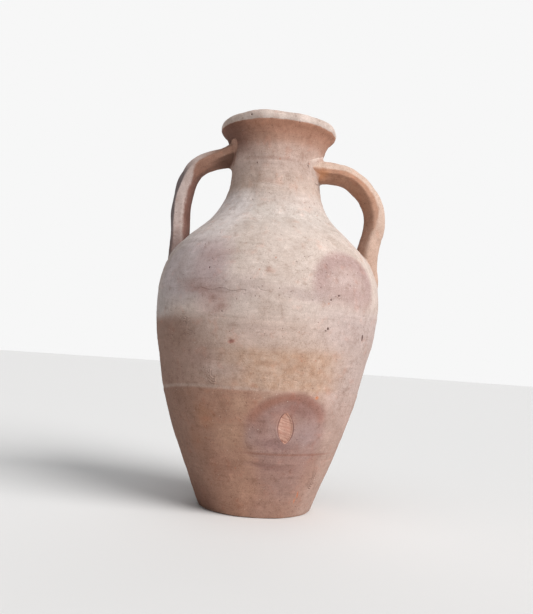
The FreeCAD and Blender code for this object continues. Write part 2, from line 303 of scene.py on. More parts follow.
def relief(theta, s):
    """How far the outside stands off its profile: lumps, throwing rings, joins and marks."""
    z = np.interp(s, outer.s, outer.p[:, 1])
    out = LUMPS.cyl(theta, z) + DENTS.cyl(theta, z) + FINE.cyl(theta, z)
    body = sstep(150, 175, z) * (1 - sstep(470, 480, z))
    out += rings(theta, z, 31, 6, 15, 0.11) * body
    out += rings(theta, z, 32, 9, 22, 0.07) * (1 - body) * (1 - sstep(470, 480, z))
    necky = sstep(372, 400, z) * (1 - sstep(462, 476, z))
    out += rings(theta, z, 33, 5, 11, 0.16) * necky
    # two turned lines on the neck, deeper at the front, and one low on the body
    for height, half, depth, lobe in ((445.5, 0.9, 0.50, 0.0), (440.6, 0.7, 0.38, 0.3),
                                      (80.6, 1.2, 0.28, 0.5), (233.0, 0.9, 0.16, -0.9)):
        wander = 0.7 * np.cos(theta * 2 + height) + 0.35 * np.cos(theta * 5 + height * 2)
        gain = 0.55 + 0.45 * np.cos(theta - lobe)
        out -= depth * gain * np.exp(-((z - height - wander) / half) ** 2)
    # the join of the two thrown sections: the lower one stands slightly proud
    line = 151.0 + 3.0 * np.cos(theta - 0.35) - 6.0 * sstep(0.6, 1.5, -theta) * (1 - sstep(2.0, 3.0, -theta))
    out += 0.38 * (1 - sstep(-1.4, 1.4, z - line)) * np.exp(-np.clip(line - z, 0, 200) / 26)
    # the lip: its lower edge is uneven and chipped
    lip = sstep(479, 484, z) * (1 - sstep(489, 494, z))
    chips = np.clip(np.cos(9 * theta + 1.0) + np.cos(17 * theta + 2.2) + np.cos(31 * theta)
                    + np.cos(23 * theta + 4.0) - 1.2, 0, 3)
    out -= lip * (0.13 * chips + 0.10 * np.cos(47 * theta) * np.cos(29 * theta))
    fade = sstep(0, 3, s)
    return (out + marks(theta, s)) * fade


def inner_relief(theta, s):
    z = np.interp(s, inner.s, inner.p[:, 1])
    out = INNERLUMP.cyl(theta, z) * (1 - sstep(470, 490, z)) + FINE.cyl(theta, z)
    out += rings(theta, z, 51, 9, 17, 0.38) * sstep(20, 60, z) * (1 - sstep(440, 478, z))
    out += rings(theta, z, 52, 3, 6, 0.10) * sstep(18, 30, z) * (1 - sstep(470, 490, z))
    return out * sstep(0, 4, s) * sstep(0, 6, inner.length - s)


def place(theta, r, z):
    x = r * np.sin(theta) + smooth_interp(z, AX_Z, AX_X)
    y = -r * np.cos(theta) + smooth_interp(z, AX_Z, AX_Y)
    return np.stack([x, y, z], -1)


def outer_point(theta, s):
    r, z, nr, nz = outer.at(s)
    d = relief(theta, s)
    return place(theta, r + nr * d, z + nz * d * sstep(0, 2, z))


def inner_point(theta, s):
    r, z, nr, nz = inner.at(s)
    d = inner_relief(theta, s)
    return place(theta, r + nr * d, z + nz * d)


# ================================================================= meshes
def new_object(name, verts, faces, values=None):
    """A closed mesh, in metres, from points in millimetres. values holds figures per point
    that its material reads."""
    mesh = bpy.data.meshes.new(name)
    mesh.from_pydata((np.asarray(verts) * 0.001).tolist(), [], [list(map(int, f)) for f in faces])
    for key, data in (values or {}).items():
        data = np.asarray(data, np.float32)
        kind, field = ("FLOAT_VECTOR", "vector") if data.ndim == 2 else ("FLOAT", "value")
        mesh.attributes.new(key, kind, "POINT").data.foreach_set(field, data.ravel())
    mesh.validate(verbose=False)
    bm = bmesh.new()
    bm.from_mesh(mesh)
    bmesh.ops.remove_doubles(bm, verts=bm.verts, dist=2e-6)
    big = [f for f in bm.faces if len(f.verts) > 4]
    if big:
        bmesh.ops.triangulate(bm, faces=big)
    bmesh.ops.recalc_face_normals(bm, faces=bm.faces)
    for f in bm.faces:
        f.smooth = True
    for e in bm.edges:
        if len(e.link_faces) == 2 and e.calc_face_angle(0) > math.radians(50):
            e.smooth = False
    bm.to_mesh(mesh)
    bm.free()
    obj = bpy.data.objects.new(name, mesh)
    bpy.context.scene.collection.objects.link(obj)
    return obj


def stations(s0, s1, step):
    return np.linspace(s0, s1, max(2, int(round((s1 - s0) / step)) + 1))


def close_to_marks(theta, s, pad):
    """Which parameter points lie near a small mark, and so want a finer mesh."""
    r = np.interp(s, outer.s, outer.p[:, 0])
    near = np.zeros(theta.shape, bool)
    for deg, height, rad, depth in PITS:
        near |= np.hypot((theta - math.radians(deg)) * r, s - float(surface_s(height))) < rad * 1.9 + pad
    for deg, height, half, tall, depth, lean in LONG_PITS:
        near |= np.hypot((theta - math.radians(deg)) * r, s - float(surface_s(height))) < tall * 1.4 + pad
    for line, half, depth, lip in GROOVES:
        pts = [(math.radians(a), float(surface_s(b))) for a, b in line]
        for (ax, ay), (bx, by) in zip(pts, pts[1:]):
            for w in np.linspace(0, 1, 6):
                near |= np.hypot((theta - ax - w * (bx - ax)) * r, s - ay - w * (by - ay)) < 1.6 + pad
    deg, height, half, tall = SCAR
    u = (theta - math.radians(deg)) * r
    v = s - float(surface_s(height))
    near |= (np.hypot(u / (half + 3.5), v / (tall + 3.5)) < 1.0)
    return near


def outer_patch(s0, s1):
    """The outside between two arc lengths, as parameter points and faces, finer at marks."""
    cols = np.linspace(-np.pi, np.pi, SEG + 1)
    rows = stations(s0, s1, STEP)
    t, s = np.meshgrid(cols, rows)
    idx = np.arange(t.size).reshape(t.shape)
    faces = np.stack([idx[:-1, :-1], idx[:-1, 1:], idx[1:, 1:], idx[1:, :-1]], -1).reshape(-1, 4)
    mesh = bpy.data.meshes.new("param")
    mesh.from_pydata(np.stack([t.ravel(), s.ravel(), np.zeros(t.size)], 1).tolist(), [], faces.tolist())
    bm = bmesh.new()
    bm.from_mesh(mesh)
    bpy.data.meshes.remove(mesh)
    mid_t = (cols[:-1] + cols[1:]) / 2
    mid_s = (rows[:-1] + rows[1:]) / 2
    mt, ms = np.meshgrid(mid_t, mid_s)
    flag = close_to_marks(mt, ms, 1.0)
    flag[:, 0] = flag[:, -1] = False
    flag[0, :] = flag[-1, :] = False
    bm.faces.ensure_lookup_table()
    chosen = [bm.faces[i] for i in np.where(flag.ravel())[0]]
    edges = {e for f in chosen for e in f.edges
             if 0 < sum(1 for v in e.verts if True)}
    if edges:
        bmesh.ops.subdivide_edges(bm, edges=list(edges), cuts=3, use_grid_fill=True)
    big = [f for f in bm.faces if len(f.verts) > 4]
    if big:
        bmesh.ops.triangulate(bm, faces=big, quad_method="BEAUTY", ngon_method="BEAUTY")
    bm.verts.index_update()
    par = np.array([v.co[:] for v in bm.verts])
    out = [[v.index for v in f.verts] for f in bm.faces]
    bm.free()
    # snap the parameters back to double precision on the seam and ends
    th = par[:, 0].copy()
    th[np.abs(np.abs(th) - np.pi) < 1e-5] = np.sign(th[np.abs(np.abs(th) - np.pi) < 1e-5]) * np.pi
    sv = par[:, 1].copy()
    for edge in (s0, s1):
        sv[np.abs(sv - edge) < 2e-4] = edge
    return th, sv, out


def shell_piece(name, z0, z1):
    """One thrown section: its outside, its inside, and the flat faces it was luted by."""
    top = name == "rim"
    so0 = outer.find(z0, first=True) if z0 > 0 else 0.0
    so1 = outer.length if top else outer.find(z1, first=True)
    th, sv, faces = outer_patch(so0, so1)
    seam = th.copy()
    seam[seam > np.pi - 1e-9] = -np.pi
    verts = [outer_point(seam, sv)]
    count = len(th)
    cols = np.linspace(-np.pi, np.pi, SEG + 1)[:-1]

    def ring(points):
        nonlocal count
        verts.append(points)
        first = count
        count += len(points)
        return np.arange(first, count)

    def sew(a, b):
        for i in range(SEG):
            j = (i + 1) % SEG
            faces.append([a[i], a[j], b[j], b[i]])

    def fan(a, centre):
        c = ring(np.array([centre]))[0]
        for i in range(SEG):
            faces.append([a[i], a[(i + 1) % SEG], c])

    start = ring(outer_point(cols, np.full(SEG, so0)))
    end = ring(outer_point(cols, np.full(SEG, so1)))
    if name == "base_disc":
        # underside: wire-cut and slightly hollow, then the floor inside
        last = start
        for rad in (66.0, 64.0, 61.5, 58.0, 54.0, 50.0, 46.0, 42.0, 38.0, 34.0, 30.0, 26.0, 22.0,
                    18.0, 14.0, 10.0, 6.0, 3.0):
            x, y = rad * np.sin(cols), -rad * np.cos(cols)
            d = np.hypot(x + 60, y - 95)
            cut = 0.22 * (1 + np.cos(2 * np.pi * d / 4.2 + 0.8 * np.cos(x / 17)))
            dome = 1.3 * (1 - sstep(46, 64, rad))
            z = (cut * (1 - sstep(58, 66, rad)) + dome + 0.15 * (1 + np.cos(x / 9 + y / 13)) * (rad < 64))
            now = ring(np.stack([x + AX_X[0], y + AX_Y[0], z], 1))
            sew(last, now)
            last = now
        fan(last, (AX_X[0], AX_Y[0], 1.7))
        last = end
        for rad in (70.0, 66.5):
            now = ring(place(cols, np.full(SEG, rad), np.full(SEG, z1)))
            sew(last, now)
            last = now
        for rad in (62.0, 58.0, 54.0, 50.0, 46.0, 42.0, 38.0, 34.0, 30.0, 26.0, 22.0, 18.0, 14.0,
                    10.0, 6.0, 3.0):
            spiral = 0.35 * np.cos(2 * np.pi * rad / 9.0 + cols) * sstep(2, 12, rad)
            zz = z1 - 0.5 + spiral - 0.5 * sstep(0, 40, rad) + 0.5 * sstep(50, 62, rad)
            now = ring(place(cols, np.full(SEG, rad), zz))
            sew(last, now)
            last = now
        fan(last, (AX_X[0], AX_Y[0], z1 - 0.4))
        return np.vstack(verts), faces, marks(seam, sv)
    # inside, from the top of the piece down
    si0 = 0.0 if top else inner.find(z1, first=True)
    si1 = inner.length if z0 <= 14.0 else inner.find(z0, first=True)
    last = end
    for s in stations(si0, si1, STEP * 2.0)[(1 if top else 0):]:
        now = ring(inner_point(cols, np.full(SEG, s)))
        sew(last, now)
        last = now
    sew(last, start)
    return np.vstack(verts), faces, marks(seam, sv)


pieces = {}
for name, (z0, z1) in JOINS.items():
    verts, faces, dent = shell_piece(name, z0, z1)
    dent = np.r_[dent, np.zeros(len(verts) - len(dent))]
    pieces[name] = new_object("jar_" + name, verts, faces, {"dent": dent})

# ================================================================= handles
HANDLES = {
    "left": dict(turn=166.84, offset=-27.22,
                 path=[(33.0, 461.5), (57.0, 455.5), (85.0, 450.0), (114.6, 438.0),
                       (126.2, 404.5), (128.4, 370.0), (124.4, 336.3), (129.0, 296.0),
                       (118.0, 276.0)],
                 thick=[8.8, 9.8, 11.4, 12.2, 12.4, 12.3, 12.4],
                 wide=[17.0, 17.0, 17.5, 17.0, 16.5, 16.5, 17.5],
                 # flat faces of the strap, high and low on the arch: (angle from the outer
                 # side towards the front, distance from the middle), then how crisp the
                 # ridges between them are, then the twist that lifts the front edge
                 faces=[((0, 11.0), (82, 17.2), (141, 9.9), (180, 11.0), (240, 17.0), (300, 16.5)),
                        ((0, 12.0), (47, 13.2), (128, 14.0), (180, 12.0), (240, 17.0), (300, 16.5)),
                        ((28.5, 10.7), (95, 15.1), (155, 13.6), (180, 12.2), (240, 17.0), (300, 16.0))],
                 sharp=[16.0, 13.0, 18.0],
                 twist=[30.0, 23.0, -4.0, -8.0, 0.0, 0.0, 0.0, 0.0, 0.0]),
    "right": dict(turn=15.38, offset=-33.75,
                  path=[(34.0, 436.5), (60.0, 438.5), (92.0, 443.6), (118.6, 428.6),
                        (136.6, 408.0), (143.6, 371.0), (124.8, 331.0), (139.0, 287.0),
                        (124.0, 258.0)],
                  thick=[12.6, 12.8, 13.4, 13.7, 13.6, 13.5, 13.8],
                  wide=[17.0, 17.5, 18.0, 17.5, 16.5, 16.5, 17.5],
                  faces=[((0, 13.2), (50, 14.0), (128, 10.6), (180, 12.6), (240, 17.0), (300, 17.0)),
                         ((0, 13.5), (50, 11.1), (141, 14.5), (180, 13.5), (240, 17.0), (300, 17.0)),
                         ((5, 13.0), (72, 14.6), (150, 13.6), (190, 13.0), (240, 17.0), (300, 17.0))],
                  sharp=[10.0, 15.0, 7.0],
                  twist=[0.0, 0.0, -4.0, -8.0, -8.0, -4.0, 0.0, 0.0, 0.0]),
}


def vessel_sdf(p):
    """Signed distance to the outside of the jar, near enough close to it, and its normal."""
    z = p[:, 2]
    x = p[:, 0] - smooth_interp(z, AX_Z, AX_X)
    y = p[:, 1] - smooth_interp(z, AX_Z, AX_Y)
    r = np.hypot(x, y)
    theta = np.arctan2(x, -y)
    s = surface_s(np.clip(z, 1, 486))
    R, _, nr, nz = outer.at(s)
    n = np.stack([nr * x / r, nr * y / r, nz], 1)
    broad = LUMPS.cyl(theta, z) + DENTS.cyl(theta, z)
    return (r - R) * nr - broad, n


def section(phi, faces, sharp):
    """Radius at angle phi of a strap with flat faces and ridges: 0 is the outer side, 90 the
    front."""
    acc = 0
    for deg, d in faces:
        acc = acc + (np.clip(np.cos(phi - math.radians(deg)), 0, None) / d) ** sharp
    return acc ** (-1.0 / sharp)


class Strap:
    def __init__(self, spec, seed):
        turn = math.radians(spec["turn"])
        self.dir = np.array([math.cos(turn), math.sin(turn), 0.0])
        self.off = np.array([0, spec["offset"], 0.0])
        lat = np.array([self.dir[1], -self.dir[0], 0.0])
        self.lat = lat if lat[1] < 0 else -lat
        self.spec = spec
        u = np.linspace(0, 1, 800)
        self.u = u
        q = bspline(spec["path"], u)
        self.c = self.off + q[:, :1] * self.dir + q[:, 1:] * np.array([0, 0, 1.0])
        s = np.r_[0, np.cumsum(np.linalg.norm(np.diff(self.c, axis=0), axis=1))]
        self.length = s[-1]
        even = np.linspace(0, self.length, 800)
        self.c = np.stack([np.interp(even, s, self.c[:, k]) for k in range(3)], 1)
        self.t = np.gradient(self.c, even, axis=0)
        self.t /= np.linalg.norm(self.t, axis=1)[:, None]
        nor = np.cross(self.lat, self.t)
        if nor[400] @ self.dir < 0:
            nor = -nor
        twist = np.radians(smooth_interp(u, np.linspace(0, 1, len(spec["twist"])),
                                         np.array(spec["twist"])))[:, None]
        self.nor = np.cos(twist) * nor - np.sin(twist) * self.lat
        self.side = np.cos(twist) * self.lat + np.sin(twist) * nor
        d, _ = vessel_sdf(self.c)
        self.flare = 1 + 0.07 * np.exp(-np.clip(d, 0, None) / 9.0)
        k = np.linspace(0, 1, len(spec["thick"]))
        a = smooth_interp(u, k, np.array(spec["thick"])) * self.flare
        b = smooth_interp(u, k, np.array(spec["wide"])) * self.flare
        self.a, self.b = a, b
        self.phi = np.linspace(0, 2 * np.pi, 145)
        table = np.zeros((800, 145))
        for i in range(0, 800):
            w0, w = 1 - sstep(0.04, 0.20, u[i]), sstep(0.28, 0.48, u[i])
            r0, r1, r2 = (section(self.phi, spec["faces"][k], spec["sharp"][k]) for k in range(3))
            r = (1 - w) * (w0 * r0 + (1 - w0) * r1) + w * r2
            x, y = r * np.cos(self.phi), r * np.sin(self.phi)
            table[i] = r * 0.5 * (2 * a[i] / (x.max() - x.min()) + 2 * b[i] / (y.max() - y.min()))
        self.table = table
        self.noise = Waves(seed, 14, (22, 70), 0.42)
        self.noise2 = Waves(seed + 1, 22, (6, 15), 0.09)
        self.pits = []

    def point(self, s, phi):
        """Point of the strap's surface s mm along it, at angle phi."""
        i = np.clip(s / self.length, 0, 1) * 799
        k = np.clip(i.astype(int), 0, 798)
        w = (i - k)[:, None]
        lerp = lambda arr: (1 - w) * arr[k] + w * arr[k + 1]
        c, n, lat = lerp(self.c), lerp(self.nor), lerp(self.side)
        n /= np.linalg.norm(n, axis=1)[:, None]
        j = np.mod(phi, 2 * np.pi) / (2 * np.pi) * 144
        jl = np.clip(j.astype(int), 0, 143)
        f = j - jl
        r0 = self.table[k, jl] * (1 - f) + self.table[k, jl + 1] * f
        r1 = self.table[k + 1, jl] * (1 - f) + self.table[k + 1, jl + 1] * f
        r = r0 * (1 - w[:, 0]) + r1 * w[:, 0]
        out = np.cos(phi)[:, None] * n + np.sin(phi)[:, None] * lat
        p = c + r[:, None] * out
        r = r + self.noise.pos(p) + self.noise2.pos(p)
        for ps, pp, rad, depth in self.pits:
            dd = np.hypot(s - ps, (np.angle(np.exp(1j * (phi - pp)))) * r)
            r = r - depth * np.exp(-(dd / rad) ** 3)
        return c + r[:, None] * out

    def crossing(self, phi, top):
        """How far along each line of the strap it leaves (top) or enters the jar."""
        s = np.linspace(0, self.length, 500)
        out = np.zeros(len(phi))
        for i, a in enumerate(phi):
            d, _ = vessel_sdf(self.point(s, np.full(500, a)))
            if top:
                k = np.where(d[:250] < 0)[0]
                k = k[-1] if len(k) else 0
                out[i] = s[k] + (s[k + 1] - s[k]) * (0 - d[k]) / (d[k + 1] - d[k]) if d[k] < 0 else 0.0
            else:
                k = 250 + np.where(d[250:] < 0)[0]
                k = k[0] if len(k) else 499
                out[i] = s[k - 1] + (s[k] - s[k - 1]) * d[k - 1] / (d[k - 1] - d[k]) if d[k] < 0 else s[-1]
        return out


def unit(v):
    return v / np.maximum(np.linalg.norm(v, axis=1), 1e-9)[:, None]


def smooth_ring(v, times=6):
    for _ in range(times):
        v = 0.25 * np.roll(v, 1, axis=0) + 0.5 * v + 0.25 * np.roll(v, -1, axis=0)
    return v


def strap_piece(strap, name):
    na, nl = ((120, 300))
    phi = np.linspace(0, 2 * np.pi, na, endpoint=False)
    s0, s1 = strap.crossing(phi, True), strap.crossing(phi, False)
    strap.ends = (phi, s0, s1)
    t = np.linspace(0, 1, nl)
    lo = np.maximum(s0 - 2.5, 0)
    hi = np.minimum(s1 + 2.5, strap.length)
    s = lo[None, :] * (1 - t[:, None]) + hi[None, :] * t[:, None]
    pts = strap.point(s.ravel(), np.tile(phi, nl))
    faces = []
    for i in range(nl - 1):
        for j in range(na):
            k = (j + 1) % na
            faces.append([i * na + j, i * na + k, (i + 1) * na + k, (i + 1) * na + j])
    verts = list(pts)
    for row in (0, nl - 1):
        ring = pts[row * na:(row + 1) * na]
        c = len(verts)
        verts.append(ring.mean(axis=0))
        for j in range(na):
            faces.append([row * na + j, row * na + (j + 1) % na, c])
    around = np.tile(phi, nl)
    at = np.stack([s.ravel() / strap.length, np.cos(around), np.sin(around)], 1)
    return new_object(name, np.array(verts), faces, {"strap": np.vstack([at, at[:1], at[-1:]])})


def pad_piece(strap, top, name, along_wall, up_strap, edge, seed):
    """Luting clay round one root: a hollow fillet from the wall up on to the strap.
    along_wall, up_strap and edge are functions of the angle round the strap: how far the
    pad spreads on each, and how thick its outer edge is left."""
    na = 160
    nt = 22
    phi = np.linspace(0, 2 * np.pi, na, endpoint=False)
    s0 = strap.crossing(phi, top)
    away = 1.0 if top else -1.0
    c = strap.point(s0, phi)
    lb = smooth_ring(up_strap(phi))
    b = strap.point(np.clip(s0 + away * lb, 0, strap.length), phi)
    centre_i = np.clip(s0 / strap.length * 799, 0, 799).astype(int)
    nt_dir = unit(c - strap.c[centre_i])
    _, nv = vessel_sdf(c)
    a_dir = unit(nt_dir - (nt_dir * nv).sum(1)[:, None] * nv)
    a_dir = unit(smooth_ring(a_dir, 10))
    la = smooth_ring(along_wall(phi))
    wob = Waves(seed, 10, (16, 50), 1.0)
    la = la * (1 + 0.13 * wob.pos(c * 1.0))
    a = c + la[:, None] * a_dir
    for _ in range(3):
        d, n = vessel_sdf(a)
        a = a - d[:, None] * n
    d, na_ = vessel_sdf(a)
    lift = edge(phi)
    a_top = a + (lift - 0.22)[:, None] * na_
    rows = []
    tt = np.linspace(0, 1, nt)
    ctrl = c + (0.6 - 0.9 * lift)[:, None] * unit(nv + nt_dir)
    for t in tt:
        p = (1 - t) ** 2 * a_top + 2 * t * (1 - t) * ctrl + t ** 2 * (b - 0.25 * unit(b - strap.c[np.clip((s0 + away * lb) / strap.length * 799, 0, 799).astype(int)]))
        n = unit((1 - t) * na_ + t * nt_dir)
        bump = (HAND.pos(p) * 0.8 + HANDFINE.pos(p)) * math.sin(math.pi * t) ** 0.7
        rows.append(p + bump[:, None] * n)
    rows = [a + 0.55 * a_dir * (0.4 + lift)[:, None] - 0.9 * na_,
            a + 0.35 * a_dir * (0.3 + lift)[:, None] + (0.55 * lift - 0.25)[:, None] * na_] + rows
    rows.append(b - 1.6 * nt_dir)
    rows.append(c - 2.2 * nt_dir - 1.8 * nv)
    rows.append(a - 2.0 * na_)
    n_rows = len(rows)
    verts = np.vstack(rows)
    at = np.stack([np.clip(s0 / strap.length, 0, 1), np.cos(phi), np.sin(phi)], 1)
    at = np.tile(at, (n_rows, 1))
    climb = np.repeat(np.r_[0, 0, tt, 1, 0.5, 0], na)
    faces = []
    for i in range(n_rows):
        k = (i + 1) % n_rows
        for j in range(na):
            m = (j + 1) % na
            faces.append([i * na + j, i * na + m, k * na + m, k * na + j])
    return new_object(name, verts, faces, {"strap": at, "climb": climb})


def bump_at(phi, centre, width):
    return np.exp(-(np.angle(np.exp(1j * (phi - math.radians(centre)))) / math.radians(width)) ** 2)


straps = {}
for side, spec in HANDLES.items():
    straps[side] = Strap(spec, 60 if side == "left" else 80)
straps["right"].pits = [(33.0, math.radians(108), 13.0, 2.8), (22.0, math.radians(75), 8.0, 1.2), (96.0, math.radians(70), 1.1, 0.9), (108.0, math.radians(40), 1.0, 0.7),
                        (170.0, math.radians(118), 0.9, 0.7), (176.0, math.radians(96), 0.8, 0.6),
                        (60.0, math.radians(210), 1.0, 0.8), (140.0, math.radians(265), 1.1, 0.9)]
straps["left"].pits = [(180.0, math.radians(88), 1.0, 1.0), (120.0, math.radians(300), 1.0, 0.8),
                       (70.0, math.radians(40), 0.8, 0.6)]
for side, strap in straps.items():
    pieces["handle_" + side] = strap_piece(strap, "jar_handle_" + side)

const = lambda v: (lambda phi: np.full(len(phi), float(v)))
pieces["left_neck_pad"] = pad_piece(
    straps["left"], True, "jar_left_neck_pad",
    lambda p: 2.4 + 6.0 * bump_at(p, 275, 70) + 5.5 * bump_at(p, 96, 28),
    lambda p: 3.2 + 6.0 * bump_at(p, 275, 70) + 3.5 * bump_at(p, 96, 40),
    lambda p: 1.9 * bump_at(p, 92, 34), 301)
pieces["left_shoulder_pad"] = pad_piece(
    straps["left"], False, "jar_left_shoulder_pad",
    lambda p: 2.6 + 9.0 * bump_at(p, 0, 95) + 2.0 * bump_at(p, 270, 60),
    lambda p: 3.0 + 12.0 * bump_at(p, 0, 95) + 2.0 * bump_at(p, 270, 60),
    const(0.0), 302)
pieces["right_neck_pad"] = pad_piece(
    straps["right"], True, "jar_right_neck_pad",
    lambda p: 3.0 + 6.0 * bump_at(p, 0, 60) + 6.0 * bump_at(p, 100, 45) + 3.0 * bump_at(p, 270, 60),
    lambda p: 3.5 + 10.0 * bump_at(p, 0, 50) + 9.0 * bump_at(p, 105, 50) + 4.0 * bump_at(p, 270, 60),
    lambda p: 1.3 * bump_at(p, 76, 24) + 1.3 * bump_at(p, 165, 24), 303)
pieces["right_shoulder_pad"] = pad_piece(
    straps["right"], False, "jar_right_shoulder_pad",
    lambda p: 2.4 + 10.0 * bump_at(p, 0, 95) + 2.0 * bump_at(p, 270, 60),
    lambda p: 2.8 + 13.0 * bump_at(p, 0, 95) + 2.0 * bump_at(p, 270, 60),
    const(0.0), 304)

# ================================================================= materials
def lin(*rgb):
    out = []
    for c in rgb:
        c /= 255.0
        out.append(c / 12.92 if c <= 0.04045 else ((c + 0.055) / 1.055) ** 2.4)
    return (*out, 1.0)


class Tree:
    """Short calls for building a node tree."""

    def __init__(self, material):
        material.use_nodes = True
        self.t = material.node_tree
        self.t.nodes.clear()

    def put(self, socket, value):
        if hasattr(value, "is_output"):
            self.t.links.new(value, socket)
        elif value is not None:
            if socket.type == "RGBA" and not hasattr(value, "__len__"):
                value = (value, value, value, 1)
            if socket.type == "VECTOR" and not hasattr(value, "__len__"):
                value = (value, value, value)
            socket.default_value = value

    def node(self, kind, **props):
        n = self.t.nodes.new(kind)
        for k, v in props.items():
            setattr(n, k, v)
        return n

    def math(self, op, a, b=None, c=None, clamp=False):
        n = self.node("ShaderNodeMath", operation=op, use_clamp=clamp)
        for i, v in enumerate((a, b, c)):
            if v is not None:
                self.put(n.inputs[i], v)
        return n.outputs[0]

    def vec(self, op, a, b=None, scale=None):
        n = self.node("ShaderNodeVectorMath", operation=op)
        self.put(n.inputs[0], a)
        if b is not None:
            self.put(n.inputs[1], b)
        if scale is not None:
            self.put(n.inputs["Scale"], scale)
        return n.outputs["Value"] if op in ("LENGTH", "DOT_PRODUCT", "DISTANCE") else n.outputs["Vector"]

    def noise(self, vector, scale, detail=3.0, rough=0.5, color=False):
        n = self.node("ShaderNodeTexNoise")
        self.put(n.inputs["Vector"], vector)
        n.inputs["Scale"].default_value = scale
        n.inputs["Detail"].default_value = detail
        n.inputs["Roughness"].default_value = rough
        return n.outputs["Color"] if color else n.outputs[0]

    def voronoi(self, vector, scale, randomness=1.0):
        n = self.node("ShaderNodeTexVoronoi")
        self.put(n.inputs["Vector"], vector)
        n.inputs["Scale"].default_value = scale
        n.inputs["Randomness"].default_value = randomness
        return n.outputs["Distance"], n.outputs["Color"]

    def step(self, v, a, b, lo=0.0, hi=1.0):
        n = self.node("ShaderNodeMapRange", interpolation_type="SMOOTHSTEP")
        self.put(n.inputs["Value"], v)
        for i, x in zip(("From Min", "From Max", "To Min", "To Max"), (a, b, lo, hi)):
            n.inputs[i].default_value = x
        return n.outputs[0]

    def ramp(self, v, stops):
        n = self.node("ShaderNodeValToRGB")
        n.color_ramp.interpolation = "EASE"
        e = n.color_ramp.elements
        while len(e) < len(stops):
            e.new(0.5)
        for el, (pos, col) in zip(e, stops):
            el.position = pos
            el.color = col
        self.put(n.inputs[0], v)
        return n.outputs[0]

    def mix(self, fac, a, b, blend="MIX"):
        n = self.node("ShaderNodeMix", data_type="RGBA", blend_type=blend)
        self.put(n.inputs[0], fac)
        self.put(n.inputs[6], a)
        self.put(n.inputs[7], b)
        return n.outputs[2]

    def xyz(self, v):
        n = self.node("ShaderNodeSeparateXYZ")
        self.put(n.inputs[0], v)
        return n.outputs[0], n.outputs[1], n.outputs[2]

    def join(self, x, y, z):
        n = self.node("ShaderNodeCombineXYZ")
        for i, v in enumerate((x, y, z)):
            self.put(n.inputs[i], v)
        return n.outputs[0]


